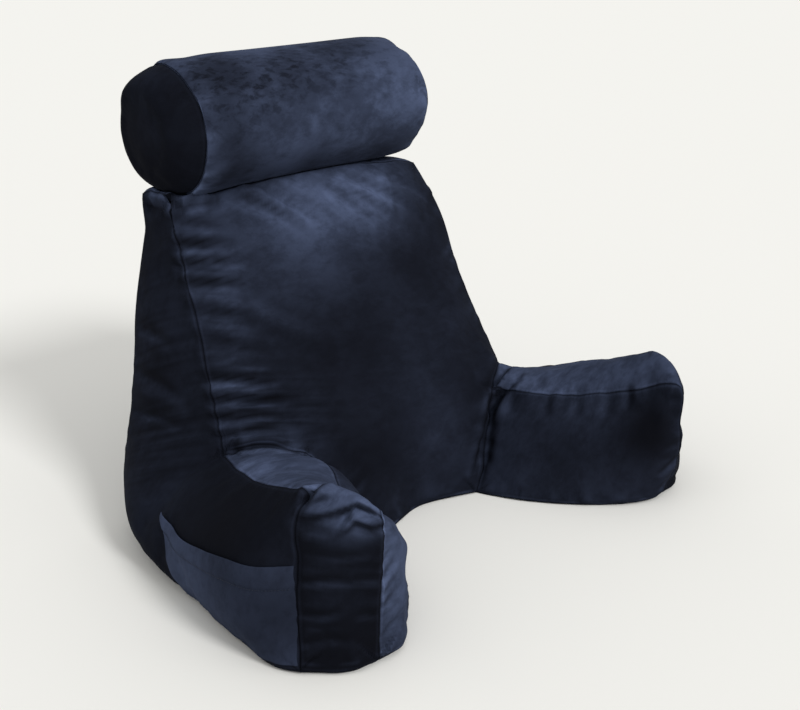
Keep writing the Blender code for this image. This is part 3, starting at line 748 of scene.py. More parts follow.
def filled(piece, values):  # blows the cover up against its held seams
    group = piece.vertex_groups.new(name="held")
    group.add(sorted({point for chain in seamChains(piece.data) for point in chain}), 1.0, "REPLACE")
    cloth = piece.modifiers.new("Filling", "CLOTH")
    cloth.settings.vertex_group_mass = "held"
    cloth.settings.use_pressure = True
    cloth.settings.uniform_pressure_force = values["pressure"]
    cloth.settings.effector_weights.gravity = 0.0
    cloth.settings.shrink_min = -values["slack"]
    before = Skin(piece).points
    for step in range(1, values["steps"] + 1):
        bpy.context.scene.frame_set(step)
    applied(piece)
    piece.vertex_groups.clear()
    skin = Skin(piece)
    moved = skin.points - before
    length = np.linalg.norm(moved, axis=1)
    skin.points = before + moved * np.minimum(1.0, values["cap"] / np.maximum(length, 1e-9))[:, None]
    skin.write()
    print("cover filled:", piece.name, "moved", round(float(length.max()), 4),
          "mean", round(float(length.mean()), 4))


def rollOutline():  # of the neck roll: left end, tube and right end, as (along, reach)
    half = roll["halfLength"]
    left = [(-half - share * roll["crowns"][0], reach) for share, reach in roll["endOutline"]]
    right = [(half + share * roll["crowns"][1], reach) for share, reach in roll["endOutline"]]
    tube = [(inset - half, reach) for inset, reach in roll["tubeOutline"]]
    tube += [(-along, reach) for along, reach in reversed(tube)]
    return left, tube, right[::-1]


def rollReach(along):  # the neck roll's radius at each place along it
    left, tube, right = rollOutline()
    places, reaches = zip(*left, *tube, *right)
    return np.interp(along, places, reaches)


def rollDroop(along):
    depth, start, length = roll["droop"]
    share = np.clip((-along - start) / length, 0.0, 1.0)
    return depth * share * share * (3.0 - 2.0 * share)


def settle(skin, gap):  # flat on the floor, and under the neck roll
    skin.points[:, 2] = np.maximum(skin.points[:, 2], 0.0)
    axisHeight = (roll["axis"][1] + roll["tilt"] * skin.points[:, 0]
                  - rollDroop(skin.points[:, 0] - roll["shift"]))
    offset = np.stack([skin.points[:, 1] - roll["axis"][0], skin.points[:, 2] - axisHeight], axis=1)
    reach = np.linalg.norm(offset, axis=1)
    clearance = rollReach(skin.points[:, 0] - roll["shift"]) + gap
    ends = (skin.points[:, 0] > -roll["halfLength"] - roll["crowns"][0]) & (
        skin.points[:, 0] < roll["halfLength"] + roll["crowns"][1])
    scale = np.where(ends & (reach < clearance), clearance / reach, 1.0)
    skin.points[:, 1] = roll["axis"][0] + offset[:, 0] * scale
    skin.points[:, 2] = axisHeight + offset[:, 1] * scale


def pointShares(data, shares):  # the mean of a panel value over each point's faces
    total, count = np.zeros(len(data.vertices)), np.zeros(len(data.vertices))
    names = {number: shares.get(name, 0.0) for name, number in panels.items()}
    for face, panel in zip(data.polygons, data.attributes["panel"].data):
        for point in face.vertices:
            total[point] += names[panel.value]
            count[point] += 1.0
    return total / count


def pucker(skin, away, along, runs, share, values):
    spacing = values["spacing"]
    run = waves(along, values["wanderSpacing"], 12.0)
    run += ripples["fineStray"] * waves(along, spacing, 2.0)
    stray = values["wander"] * share * run * np.exp(-(away / ripples["strayReach"]) ** 2)
    skin.points += np.cross(skin.normals, runs) * stray[:, None]
    bent = along + ripples["slant"] * away
    ripple = waves(bent, spacing, 3.0)
    ripple += ripples["fineHeight"] * waves(bent, spacing * ripples["fineSpacing"], 8.0)
    swing, length = ripples["reachSwing"]
    reach = values["reach"] * (1.0 + swing * waves(along, spacing * length, 17.0))
    mean, swing, length = ripples["strength"]
    strength = mean + swing * waves(along, length, 5.0)
    skin.lift(share * values["height"] * strength * ripple * np.exp(-(away / reach) ** 2)
              * np.clip(away / ripples["seamClear"], 0.0, 1.0))
    skin.lift(-values["seamDepth"] * np.exp(-(away / values["seamWidth"]) ** 2))
    skin.write()


def byPanel(values):  # one value for each panel, in the order of their numbers
    return np.array([values.get(name, 0.0) for name in sorted(panels, key=panels.get)])


def paintShadedLevels(piece, levels, patches, smoothNormals):  # paints light and shade, with the nap's own lie, as a level at each corner of each face
    skin = Skin(piece)
    data = piece.data
    turned = (skin.normals - smoothNormals) @ np.array(lightAndShadeShifts["lightSide"])
    corners = np.empty(len(data.loops), dtype=np.int32)
    data.loops.foreach_get("vertex_index", corners)
    sizes = np.empty(len(data.polygons), dtype=np.int32)
    data.polygons.foreach_get("loop_total", sizes)
    panel = np.empty(len(data.polygons), dtype=np.int32)
    data.attributes["panel"].data.foreach_get("value", panel)
    panel = np.repeat(panel, sizes)
    level = byPanel(levels)[panel]
    # the gusset gets painted shade where it turns down the arm's front
    upward = (smoothNormals[corners, 2] - lightAndShadeShifts["frontFrom"]) / (
        lightAndShadeShifts["topFrom"] - lightAndShadeShifts["frontFrom"])
    front = lightAndShadeShifts["frontFace"]
    turnedDown = front + (level - front) * np.clip(upward, 0.0, 1.0)
    level = np.where(panel == panels["gusset"], turnedDown, level)
    for name, place, radius, change in patches:
        patch = change * np.exp(-skin.reach(place, radius) ** 2)
        level += np.where(panel == panels[name], patch[corners], 0.0)
    # painted shade in creases turned away from the light side, painted light on those turned towards it
    shade = np.clip(1.0 + lightAndShadeShifts["creaseShade"] * turned, *lightAndShadeShifts["creaseRange"])
    level = np.maximum(level, lightAndShadeShifts["lowest"]) * shade[corners]
    light = np.clip(turned, 0.0, lightAndShadeShifts["creaseLightMost"])
    level += byPanel(lightAndShadeShifts["creaseLight"])[panel] * light[corners]
    layer = data.attributes.new("napShadeLevel", "FLOAT", "CORNER")
    layer.data.foreach_set("value", level.astype(np.float32))


def buildCushion():
    body = smoothed(addPiece("readingCushion", cushionCage()), cushion["levels"][0])
    filled(body, filling)
    smoothed(body, cushion["levels"][1])
    away, along, runs = seamFields(body)
    skin = Skin(body)
    swell(skin, cushionSwells)
    skin.write()
    smoothNormals = skin.normals.copy()
    pucker(skin, away, along, runs, pointShares(body.data, puckers["share"]), puckers)
    for start, end, width, height, bow in cushionFolds:
        skin.fold(fromTables(start), fromTables(end), width, height, bow)
    skin.write()
    settle(skin, roll["gap"])
    skin.write()
    skin.attribute("seamAway", away)
    skin.attribute("seamAlong", along)
    skin.attribute("creaseFan", spread(skin, creaseFans))
    skin.attribute("longGather", spread(skin, longGathers))
    lean = pointShares(body.data, {"lean": 1.0})
    skin.attribute("overStitch", np.where(lean > 0.0, spread(skin, overStitched), 0.0))
    paintShadedLevels(body, napAndLightLevels, cushionLightAndShadePatches, smoothNormals)
    body.data.materials.append(velour("cushionVelour", unevenness=0.25, flecks=0.16, seamShow=0.58))
    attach(body, "root")
    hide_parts("cushion_body")
    print("cushion made:", len(body.data.polygons), "faces")
    return body


# neck roll

roll = {
    "gap": 0.0016,  # between it and the cushion under it
    "halfLength": 0.198,
    "crowns": (0.050, 0.021),  # how far the left and right ends stand out
    "tilt": 0.028,
    "droop": (0.0045, 0.120, 0.080),  # of the left end: depth, where it starts, over what length
    "shift": -0.0005,
    "axis": (0.21046, 0.534),  # depth and height
    "sides": 144,
    "outlineSteps": (3, 8),  # between the outline's points: on the ends, on the tube
    "mergeWithin": 0.0001,
    "leastWear": 0.12,
    "endOutline": (  # share of the crown, distance from the axis
        (1.00, 0.000), (0.985, 0.022), (0.93, 0.042), (0.80, 0.0575), (0.58, 0.069),
        (0.30, 0.077), (0.00, 0.0825)),
    "tubeOutline": (  # distance in from the end seam, distance from the axis
        (0.006, 0.0858), (0.018, 0.0885), (0.045, 0.0896), (0.100, 0.0896), (0.150, 0.0893)),
}

rollFilling = {"steps": 12, "pressure": 4.0, "slack": 0.010, "cap": 0.005}

rollPuckers = {
    "spacing": 0.015,
    "reach": 0.020,
    "height": 0.0016,
    "seamDepth": 0.0014,
    "seamWidth": 0.0040,
    "wander": 0.0008,
    "wanderSpacing": 0.030,
    "share": {"lean": 1.0, "side": 0.4},
}

rollWear = (  # where its nap is flecked: place, radius, strength
    ((-0.175, 0.440, 0.600), 0.060, 1.0),
    ((-0.160, 0.415, 0.560), 0.050, 0.8),
    ((-0.110, 0.430, 0.590), 0.060, 1.0),
    ((-0.040, 0.440, 0.600), 0.055, 0.9),
    ((0.030, 0.440, 0.605), 0.050, 0.8),
    ((0.110, 0.450, 0.612), 0.050, 0.6),
    ((0.185, 0.430, 0.560), 0.035, 0.7),
    ((-0.150, 0.600, 0.560), 0.080, 0.7),
    ((0.100, 0.600, 0.580), 0.080, 0.6),
)

rollSwells = (  # place, radius, push
    ((-0.243, 0.532, 0.578), 0.040, (-0.0055, 0.0045, 0.0015)),
    ((-0.244, 0.498, 0.495), 0.024, (-0.0020, 0.0010, -0.0010)),
    ((-0.232, 0.480, 0.467), 0.020, (0.0015, 0.0010, 0.0030)),
    ((0.195, 0.440, 0.500), 0.050, (-0.0015, 0.0010, 0.0020)),
    ((-0.222, 0.486, 0.598), 0.075, (-0.007, 0.000, 0.007)),
    ((0.195, 0.470, 0.605), 0.075, (-0.004, 0.002, -0.006)),
)

rollNapAndLightLevels = {"lean": 0.62, "side": 0.025}  # levels of painted light and shade on the nap; the tube counts as lean panel, its ends as sides

rollLightAndShadePatches = (  # panel, place, radius, change of level: painted light where it rises, painted shade where it falls, together with the nap's own patches
    ("lean", (-0.183, 0.448, 0.601), 0.050, -0.20),
    ("lean", (-0.121, 0.447, 0.603), 0.050, -0.22),
    ("lean", (-0.050, 0.436, 0.596), 0.042, -0.28),
    ("lean", (0.017, 0.440, 0.600), 0.040, -0.20),
    ("lean", (0.100, 0.470, 0.618), 0.050, -0.28),
    ("lean", (-0.163, 0.424, 0.576), 0.042, -0.14),
    ("lean", (-0.170, 0.413, 0.540), 0.040, -0.18),
    ("lean", (-0.030, 0.412, 0.545), 0.055, 0.10),
    ("lean", (0.105, 0.411, 0.545), 0.060, 0.14),
    ("lean", (-0.145, 0.424, 0.484), 0.060, -0.40),
    ("lean", (-0.011, 0.420, 0.480), 0.055, -0.28),
    ("lean", (0.100, 0.425, 0.480), 0.055, -0.20),
    ("lean", (-0.150, 0.452, 0.460), 0.034, -0.14),
    ("lean", (-0.080, 0.452, 0.462), 0.034, -0.20),
    ("lean", (-0.010, 0.452, 0.464), 0.034, -0.25),
    ("lean", (0.060, 0.452, 0.466), 0.034, -0.25),
    ("lean", (0.130, 0.452, 0.468), 0.034, -0.25),
    ("side", (-0.236, 0.490, 0.595), 0.036, 0.05),
    ("side", (-0.240, 0.470, 0.530), 0.030, 0.03),
    ("side", (0.215, 0.490, 0.560), 0.080, 0.34),
    ("lean", (-0.100, 0.590, 0.530), 0.080, -0.25),
    ("lean", (0.100, 0.590, 0.560), 0.090, -0.35),
)


def smoothLine(points, steps):  # points on a smooth curve through the given ones
    line = [points[0]] + list(points) + [points[-1]]
    made = []
    for p, q, r, s in zip(line, line[1:], line[2:], line[3:]):
        for step in range(steps):
            t = step / steps
            made.append(tuple(
                0.5 * (2.0 * b + (c - a) * t + (2.0 * a - 5.0 * b + 4.0 * c - d) * t * t
                       + (3.0 * b - a - 3.0 * c + d) * t * t * t)
                for a, b, c, d in zip(p, q, r, s)))
    return made + [tuple(points[-1])]


def rollShell():
    half = roll["halfLength"]
    left, tube, right = rollOutline()
    endSteps, tubeSteps = roll["outlineSteps"]
    outline = smoothLine(left, endSteps)[:-1]
    outline += smoothLine([left[-1]] + tube + [right[0]], tubeSteps)
    outline += smoothLine(right, endSteps)[1:]
    mesh = bmesh.new()
    points = [mesh.verts.new((along, 0.0, reach)) for along, reach in outline]
    edges = [mesh.edges.new(pair) for pair in zip(points, points[1:])]
    bmesh.ops.spin(mesh, geom=points + edges, cent=(0.0, 0.0, 0.0), axis=(1.0, 0.0, 0.0),
                   angle=2.0 * math.pi, steps=roll["sides"], use_merge=True)
    bmesh.ops.remove_doubles(mesh, verts=mesh.verts[:], dist=roll["mergeWithin"])
    crease = mesh.edges.layers.float.new("crease_edge")
    panel = mesh.faces.layers.int.new("panel")
    for edge in mesh.edges:
        if all(abs(abs(vertex.co.x) - half) < roll["mergeWithin"] for vertex in edge.verts):
            edge[crease] = 1.0
    for face in mesh.faces:
        inTube = abs(face.calc_center_median().x) < half
        face[panel] = panels["lean"] if inTube else panels["side"]
    turn = Matrix.Translation((roll["shift"], *roll["axis"])) @ Matrix.Rotation(-roll["tilt"], 4, "Y")
    bmesh.ops.transform(mesh, matrix=turn, verts=mesh.verts[:])
    bmesh.ops.recalc_face_normals(mesh, faces=mesh.faces[:])
    fixOrder(mesh)
    return mesh


def buildRoll():
    piece = addPiece("neckRoll", rollShell())
    filled(piece, rollFilling)
    away, along, runs = seamFields(piece)
    skin = Skin(piece)
    skin.points[:, 2] -= rollDroop(skin.points[:, 0] - roll["shift"])
    swell(skin, rollSwells)
    skin.write()
    smoothNormals = skin.normals.copy()
    pucker(skin, away, along, runs, pointShares(piece.data, rollPuckers["share"]), rollPuckers)
    skin.attribute("seamAway", away)
    skin.attribute("seamAlong", along)
    skin.attribute("napWear", np.maximum(spread(skin, rollWear), roll["leastWear"]))
    paintShadedLevels(piece, rollNapAndLightLevels, rollLightAndShadePatches, smoothNormals)
    piece.data.materials.append(velour("rollVelour", unevenness=0.32, flecks=0.70, seamShow=0.25,
                                       worn=True))
    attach(piece, "root")
    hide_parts("neck_roll")
    print("neck roll made:", len(piece.data.polygons), "faces")


# side pocket

pocket = {
    "rim": ((0.314, 0.088), (0.252, 0.085), (0.190, 0.097), (0.128, 0.112), (0.0635, 0.119)),
    "halfway": ((0.288, 0.050), (0.230, 0.047), (0.172, 0.053), (0.114, 0.060), (0.0515, 0.062)),
    "foot": ((0.256, 0.007), (0.204, 0.006), (0.150, 0.006), (0.098, 0.007), (0.037, 0.012)),
    "thickness": 0.002,
    "edgeRound": 0.0008,
    "gap": 0.0008,
    "slack": 0.0025,
    "lip": (0.004, 0.06, 0.12),  # how far the rear corner gapes, over what shares of width and drop
    "hem": 0.215,  # share of the drop that the folded hem takes
    "hemRise": 0.0012,
    "hemEdge": 0.02,  # share of the drop over which it rises
    "hemDip": (0.0006, 0.015),  # at its row of stitches: depth, share of the drop
    "steps": 28,
    "rows": 54,
    "flat": (0.275, 0.125),
}

# the pocket's nap level: painted sheen, lighter than the side panel under it
pocketNapAndLightLevels = {"side": 0.36}

pocketLightAndShadePatches = (  # panel, place, radius, change of level: painted light where it rises, painted shade where it falls, together with the nap's own patches
    ("side", (-0.400, 0.270, 0.070), 0.080, 0.34),
    ("side", (-0.385, 0.060, 0.070), 0.055, -0.22),
    ("side", (-0.400, 0.150, 0.095), 0.040, -0.08),
)

stitches = {
    "pitch": 0.0036,
    "length": 0.0026,
    "width": 0.0007,
    "height": 0.0004,
    "samples": 400,  # points along the hem
    "ends": (8, 394),  # the first and last of them that thread runs over
    "colour": (0.006, 0.008, 0.016),
    "paleShare": 1.8,  # of the colour, in its lighter fibres
    "fibreScale": 500.0,
    "fibreRelief": 0.0002,
}


def pocketSpot(rows, skin, share, drop):  # on the cushion's side, and how far the pocket stands off
    index = share * (len(rows[0]) - 1)
    start, part = int(index), index - int(index)
    lines = [Vector(row[start]).lerp(Vector(row[min(start + 1, len(row) - 1)]), part) for row in rows]
    top, middle, foot = lines
    spot = (top * (1.0 - drop) * (1.0 - 2.0 * drop) + middle * 4.0 * drop * (1.0 - drop)
            + foot * drop * (2.0 * drop - 1.0))
    place, normal, _, _ = skin.ray_cast(fromTables((-1.0, spot[0], spot[1])), (1.0, 0.0, 0.0))
    slack = pocket["slack"] * math.sin(math.pi * share) * (1.0 - drop) ** 2
    gape, width, depth = pocket["lip"]
    lip = gape * math.exp(-(share / width) ** 2 - (drop / depth) ** 2)
    fold = pocket["hemRise"] * min(1.0, max(0.0, (pocket["hem"] - drop) / pocket["hemEdge"]))
    depth, width = pocket["hemDip"]
    dip = depth * math.exp(-((drop - pocket["hem"]) / width) ** 2)
    return place, normal, pocket["gap"] + slack + lip + fold - dip


def buildPocket(body):
    rows = [smoothLine(pocket[name], pocket["steps"]) for name in ("rim", "halfway", "foot")]
    shape = bmesh.new()
    shape.from_mesh(body.data)
    skin = BVHTree.FromBMesh(shape)
    mesh = bmesh.new()
    bmesh.ops.create_grid(mesh, x_segments=len(rows[0]) - 1, y_segments=pocket["rows"], size=1.0)
    for vertex in mesh.verts:
        share, drop = (1.0 - vertex.co.x) / 2.0, (1.0 - vertex.co.y) / 2.0
        place, normal, rise = pocketSpot(rows, skin, share, drop)
        vertex.co = place + normal * rise
    panel = mesh.faces.layers.int.new("panel")
    for face in mesh.faces:
        face[panel] = panels["side"]
    bmesh.ops.recalc_face_normals(mesh, faces=mesh.faces[:])
    piece = addPiece("sidePocket", mesh)
    sheet = piece.modifiers.new("Thickness", "SOLIDIFY")
    sheet.thickness = pocket["thickness"]
    sheet.offset = 1.0
    rounding = piece.modifiers.new("Edges", "BEVEL")
    rounding.width = pocket["edgeRound"]
    rounding.segments = 2
    rounding.limit_method = "ANGLE"
    applied(piece)
    data = Skin(piece)
    data.attribute("seamAway", np.ones(len(data.points)))
    data.attribute("seamAlong", np.zeros(len(data.points)))
    paintShadedLevels(piece, pocketNapAndLightLevels, pocketLightAndShadePatches, data.normals)
    piece.data.materials.append(velour("pocketVelour", unevenness=0.12, flecks=0.15, seamShow=0.0))
    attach(piece, "root")
    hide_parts("side_pocket")
    print("pocket made:", len(piece.data.polygons), "faces")
    buildStitches(rows, skin)


def buildStitches(rows, skin):  # one row of thread along the foot of the pocket's hem
    count = stitches["samples"]
    places = [pocketSpot(rows, skin, index / count, pocket["hem"]) for index in range(count + 1)]
    line = [place + normal * (rise + pocket["thickness"]) for place, normal, rise in places]
    size = Matrix.Diagonal((stitches["length"] / 2.0, stitches["width"] / 2.0,
                            stitches["height"], 1.0))
    mesh = bmesh.new()
    gone = 0.0
    for index in range(*stitches["ends"]):
        step = line[index + 1] - line[index]
        gone += step.length
        if gone < stitches["pitch"]:
            continue
        gone -= stitches["pitch"]
        run, up = step.normalized(), places[index][1].normalized()
        turn = Matrix((run, up.cross(run), up)).transposed().to_4x4()
        bmesh.ops.create_uvsphere(mesh, u_segments=6, v_segments=4, radius=1.0,
                                  matrix=Matrix.Translation(line[index]) @ turn @ size)
    bmesh.ops.recalc_face_normals(mesh, faces=mesh.faces[:])
    fixOrder(mesh)
    piece = addPiece("hemStitches", mesh)
    piece.data.materials.append(thread("stitchThread", stitches["colour"]))
    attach(piece, "root")
    print("stitches made:", len(piece.data.polygons), "faces")


# velour

velourLook = {
    # the nap's colour in painted shade and in painted light; the level mixes between them
    "shadedNap": (0.0032, 0.0035, 0.0056),
    "litNap": (0.063, 0.082, 0.146),
    "seamShadow": (0.002, 0.0024, 0.004),
    "roughness": 0.9,
    "specular": 0.03,
    "sheen": 0.010,
    "sheenRoughness": 0.3,
    "sheenTint": (0.55, 0.68, 1.0),
    "cloudScale": 11.0,
    "pileScales": (900.0, 260.0),  # of single fibres, of tufts
    "edgeHighlightShare": 0.4,  # painted highlight on the rounded edge of a seam: share by which it lightens, then what it adds
    "seamLight": 0.05,
    "overLight": 0.22,  # painted highlight that the edge of an over-stitched seam adds
    "napRelief": 0.0008,
    "pileRelief": 0.0003,
    "gatherRelief": 0.0022,
    "pulledRelief": 0.0044,
    "fanRelief": 0.0050,
    "foldStrength": 0.8,
    "pileStrength": 0.3,
    "fan": ((62.0, 33.0, 61.0), (6.7, -2.8, -5.3), 0.9),  # creases: across, along, contrast of their painted light and shade
    "gather": ((25.0, 42.0, 80.0), (11.7, -5.5, -0.9), 3.4),
}

cloudLook = {
    "strokeTurn": (0.5, 0.6, 0.9),
    "strokeStretch": (1.0, 2.2, 1.5),
    "strokeScale": 3.6,  # of the clouds' scale
    "fleckScale": 4.6,
    "shares": (0.66, 0.34),  # of the clouds and of the strokes
    "patchEdges": (0.40, 0.62),
    "fleckEdges": (0.46, 0.64),
    "strokeSwing": 1.6,
}

seamLook = {  # centre and width of each line, as distances from the seam
    "line": (0.0, 0.0009),
    "edge": (0.0034, 0.0016),
    "overLine": (0.0050, 0.0007),
    "overEdge": (0.0068, 0.0010),
    "gathered": (0.0, 0.017),
    "gatherScale": (115.0, 30.0),  # along the seam, away from it
    "lineDepth": -0.6,
}


def nodeGroup(name, inputs, outputs):
    group = bpy.data.node_groups.new(name, "ShaderNodeTree")
    for label in inputs:
        kind = "NodeSocketVector" if label == "Vector" else "NodeSocketFloat"
        group.interface.new_socket(label, in_out="INPUT", socket_type=kind)
    for label in outputs:
        group.interface.new_socket(label, in_out="OUTPUT", socket_type="NodeSocketFloat")
    return group, group.nodes.new("NodeGroupInput").outputs, group.nodes.new("NodeGroupOutput").inputs


def feed(tree, socket, value):  # a number, a colour or another node's output
    if isinstance(value, tuple):
        socket.default_value = (*value, 1.0)
    elif isinstance(value, (int, float)):
        socket.default_value = value
    else:
        tree.links.new(value, socket)


def mathNode(tree, operation, *values):
    node = tree.nodes.new("ShaderNodeMath")
    node.operation = operation
    for socket, value in zip(node.inputs, values):
        feed(tree, socket, value)
    return node.outputs[0]


def times(tree, first, second):
    return mathNode(tree, "MULTIPLY", first, second)


def timesPlus(tree, first, second, third):
    return mathNode(tree, "MULTIPLY_ADD", first, second, third)


def noise(tree, vector, scale, detail, distortion=0.0, roughness=0.5):
    node = tree.nodes.new("ShaderNodeTexNoise")
    node.inputs["Detail"].default_value = detail
    node.inputs["Distortion"].default_value = distortion
    node.inputs["Roughness"].default_value = roughness
    feed(tree, node.inputs["Scale"], scale)
    feed(tree, node.inputs["Vector"], vector)
    return node.outputs["Fac"]


def bell(tree, value, centre, width):  # 1 at the centre, falling smoothly to 0
    offset = mathNode(tree, "DIVIDE", mathNode(tree, "SUBTRACT", value, centre), width)
    return mathNode(tree, "POWER", math.e, times(tree, times(tree, offset, offset), -1.0))


def smoothStep(tree, value, start, end):  # 0 up to the start, rising smoothly to 1 at the end
    node = tree.nodes.new("ShaderNodeMapRange")
    node.interpolation_type = "SMOOTHSTEP"
    node.inputs["From Min"].default_value = start
    node.inputs["From Max"].default_value = end
    feed(tree, node.inputs["Value"], value)
    return node.outputs["Result"]


def brushedNap():  # the level of painted light and shade on the nap, broken into soft clouds and ragged brush strokes
    group, given, result = nodeGroup("brushedNap", ("Vector", "Level", "Scale", "Unevenness", "Flecks"),
                                     ("Shade", "Cloud"))
    clouds = noise(group, given["Vector"], given["Scale"], 2.0, 0.2)
    turned = group.nodes.new("ShaderNodeMapping")
    turned.inputs["Rotation"].default_value = cloudLook["strokeTurn"]
    turned.inputs["Scale"].default_value = cloudLook["strokeStretch"]
    feed(group, turned.inputs["Vector"], given["Vector"])
    brushed = turned.outputs["Vector"]
    strokeScale = times(group, given["Scale"], cloudLook["strokeScale"])
    strokes = noise(group, brushed, strokeScale, 5.0, 0.25, 0.68)
    cloudShare, strokeShare = cloudLook["shares"]
    both = mathNode(group, "ADD", times(group, clouds, cloudShare), times(group, strokes, strokeShare))
    patches = smoothStep(group, both, *cloudLook["patchEdges"])
    swing = timesPlus(group, patches, 2.0, -1.0)
    stroke = cloudLook["strokeSwing"]
    swing = mathNode(group, "ADD", swing, timesPlus(group, strokes, stroke, -stroke / 2.0))
    shade = times(group, given["Level"], timesPlus(group, swing, given["Unevenness"], 1.0))
    fleckScale = times(group, given["Scale"], cloudLook["fleckScale"])
    fine = noise(group, brushed, fleckScale, 4.0, 0.3, 0.60)
    worn = times(group, smoothStep(group, fine, *cloudLook["fleckEdges"]), given["Flecks"])
    shade = times(group, shade, mathNode(group, "SUBTRACT", 1.0, worn))
    feed(group, result["Shade"], mathNode(group, "MAXIMUM", shade, 0.0))
    feed(group, result["Cloud"], both)
    return group


def sewnEdge():  # the sunk line of a seam, the rounded edge beside it and its small gathers: masks for painted shadow in the line and painted highlight on the edge, and a height
    group, given, result = nodeGroup("sewnEdge", ("Away", "Along"),
                                     ("Line", "Edge", "OverLine", "OverEdge", "Height"))
    away = given["Away"]
    line = bell(group, away, *seamLook["line"])
    feed(group, result["Line"], line)
    feed(group, result["Edge"], bell(group, away, *seamLook["edge"]))
    feed(group, result["OverLine"], bell(group, away, *seamLook["overLine"]))
    feed(group, result["OverEdge"], bell(group, away, *seamLook["overEdge"]))
    stretched = group.nodes.new("ShaderNodeCombineXYZ")
    alongScale, awayScale = seamLook["gatherScale"]
    feed(group, stretched.inputs["X"], times(group, given["Along"], alongScale))
    feed(group, stretched.inputs["Y"], times(group, away, awayScale))
    gathers = mathNode(group, "SUBTRACT", noise(group, stretched.outputs["Vector"], 1.0, 2.0), 0.5)
    fading = bell(group, away, *seamLook["gathered"])
    sunk = times(group, line, seamLook["lineDepth"])
    feed(group, result["Height"], timesPlus(group, gathers, fading, sunk))
    return group


def creases(name, across, along, swing):  # fine creases that run one way, where the mask is, with painted light and shade across them
    group, given, result = nodeGroup(name, ("Vector", "Mask"), ("Height", "Shade"))
    stretched = group.nodes.new("ShaderNodeCombineXYZ")
    for socket, direction in (("X", across), ("Y", along)):
        product = group.nodes.new("ShaderNodeVectorMath")
        product.operation = "DOT_PRODUCT"
        product.inputs[1].default_value = direction
        feed(group, product.inputs[0], given["Vector"])
        feed(group, stretched.inputs[socket], product.outputs["Value"])
    lines = mathNode(group, "SUBTRACT", noise(group, stretched.outputs["Vector"], 1.0, 0.8, 0.2), 0.5)
    masked = times(group, lines, given["Mask"])
    feed(group, result["Height"], masked)
    feed(group, result["Shade"], timesPlus(group, masked, swing, 1.0))
    return group


def pile():  # the short standing fibres
    group, given, result = nodeGroup("pile", ("Vector",), ("Height",))
    fineScale, tuftScale = velourLook["pileScales"]
    fine = noise(group, given["Vector"], fineScale, 2.0)
    tufts = noise(group, given["Vector"], tuftScale, 3.0)
    feed(group, result["Height"], mathNode(group, "ADD", fine, tufts))
    return group


def placeGroup(tree, group, **values):
    node = tree.nodes.new("ShaderNodeGroup")
    node.node_tree = group
    for label, value in values.items():
        feed(tree, node.inputs[label], value)
    return node.outputs


def bump(tree, height, distance, strength, normal=None):
    node = tree.nodes.new("ShaderNodeBump")
    node.inputs["Distance"].default_value = distance
    node.inputs["Strength"].default_value = strength
    feed(tree, node.inputs["Height"], height)
    if normal is not None:
        feed(tree, node.inputs["Normal"], normal)
    return node.outputs["Normal"]


def readAttribute(tree, name):
    node = tree.nodes.new("ShaderNodeAttribute")
    node.attribute_name = name
    return node.outputs["Fac"]


def mixColours(tree, share, first, second):
    node = tree.nodes.new("ShaderNodeMix")
    node.data_type = "RGBA"
    node.clamp_factor = False
    for index, value in ((0, share), (6, first), (7, second)):
        feed(tree, node.inputs[index], value)
    return node.outputs[2]


effects = {
    "nap": brushedNap(),
    "seam": sewnEdge(),
    "fan": creases("fannedCreases", *velourLook["fan"]),
    "gather": creases("pulledGathers", *velourLook["gather"]),
    "pile": pile(),
}


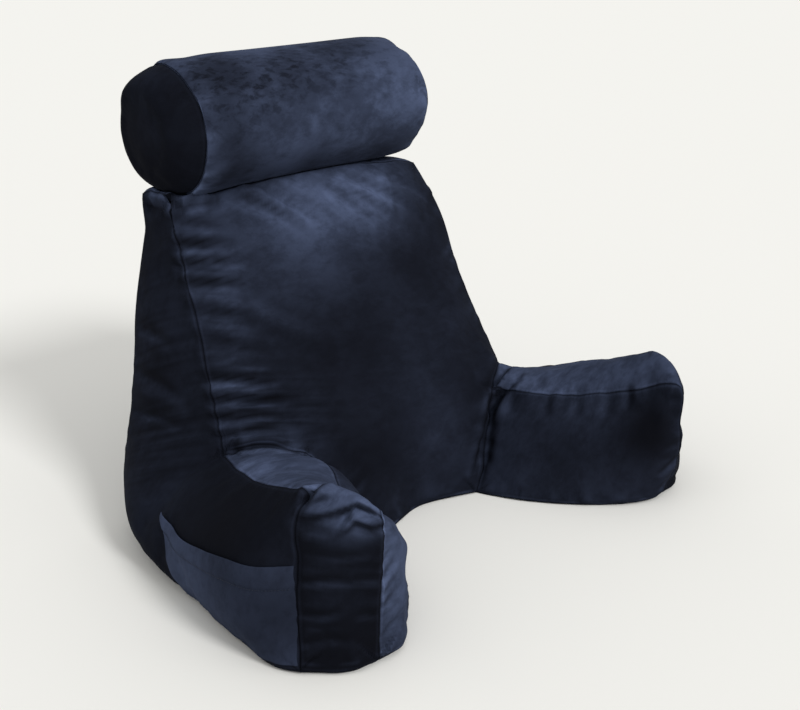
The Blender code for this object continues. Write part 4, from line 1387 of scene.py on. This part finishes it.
def velour(name, unevenness, flecks, seamShow, worn=False):
    look = velourLook
    material, tree, shader = newMaterial(name)
    places = tree.nodes.new("ShaderNodeTexCoord").outputs["Object"]
    seam = placeGroup(tree, effects["seam"], Away=readAttribute(tree, "seamAway"),
                      Along=readAttribute(tree, "seamAlong"))
    if worn:
        flecks = times(tree, readAttribute(tree, "napWear"), flecks)
    nap = placeGroup(tree, effects["nap"], Vector=places, Level=readAttribute(tree, "napShadeLevel"),
                     Scale=look["cloudScale"], Unevenness=unevenness, Flecks=flecks)
    fan = placeGroup(tree, effects["fan"], Vector=places, Mask=readAttribute(tree, "creaseFan"))
    pulled = placeGroup(tree, effects["gather"], Vector=places,
                        Mask=readAttribute(tree, "longGather"))
    fibres = placeGroup(tree, effects["pile"], Vector=places)
    overStitch = readAttribute(tree, "overStitch")

    # painted highlight on the rounded edges of seams and of over-stitched seams
    highlitEdge = timesPlus(tree, seam["Edge"], look["edgeHighlightShare"] * seamShow, 1.0)
    # painted light and shade across the fanned creases and the pulled gathers
    shade = times(tree, times(tree, nap["Shade"], highlitEdge), fan["Shade"])
    shade = times(tree, shade, pulled["Shade"])
    shade = timesPlus(tree, seam["Edge"], look["seamLight"] * seamShow, shade)
    overEdge = times(tree, seam["OverEdge"], overStitch)
    shade = timesPlus(tree, overEdge, look["overLight"], shade)
    colour = mixColours(tree, shade, look["shadedNap"], look["litNap"])
    # painted shadow in the seam lines and the over-stitch lines
    for line in (times(tree, seam["Line"], seamShow), times(tree, seam["OverLine"], overStitch)):
        colour = mixColours(tree, line, colour, look["seamShadow"])
    feed(tree, shader.inputs["Base Color"], colour)
    shader.inputs["Roughness"].default_value = look["roughness"]
    shader.inputs["Specular IOR Level"].default_value = look["specular"]
    shader.inputs["Sheen Weight"].default_value = look["sheen"]
    shader.inputs["Sheen Roughness"].default_value = look["sheenRoughness"]
    shader.inputs["Sheen Tint"].default_value = (*look["sheenTint"], 1.0)

    normal = bump(tree, seam["Height"], look["gatherRelief"], look["foldStrength"])
    normal = bump(tree, fan["Height"], look["fanRelief"], look["foldStrength"], normal)
    normal = bump(tree, pulled["Height"], look["pulledRelief"], look["foldStrength"], normal)
    normal = bump(tree, nap["Cloud"], look["napRelief"], look["pileStrength"], normal)
    normal = bump(tree, fibres["Height"], look["pileRelief"], look["pileStrength"], normal)
    feed(tree, shader.inputs["Normal"], normal)
    return material


def thread(name, colour):  # matt sewing thread, a little uneven
    material, tree, shader = newMaterial(name)
    places = tree.nodes.new("ShaderNodeTexCoord").outputs["Object"]
    uneven = noise(tree, places, stitches["fibreScale"], 2.0)
    pale = tuple(channel * stitches["paleShare"] for channel in colour)
    feed(tree, shader.inputs["Base Color"], mixColours(tree, uneven, colour, pale))
    shader.inputs["Roughness"].default_value = 0.7
    shader.inputs["Specular IOR Level"].default_value = 0.3
    feed(tree, shader.inputs["Normal"], bump(tree, uneven, stitches["fibreRelief"], 0.4))
    return material


buildStudio(studio)
cushionBody = buildCushion()
buildRoll()
buildPocket(cushionBody)
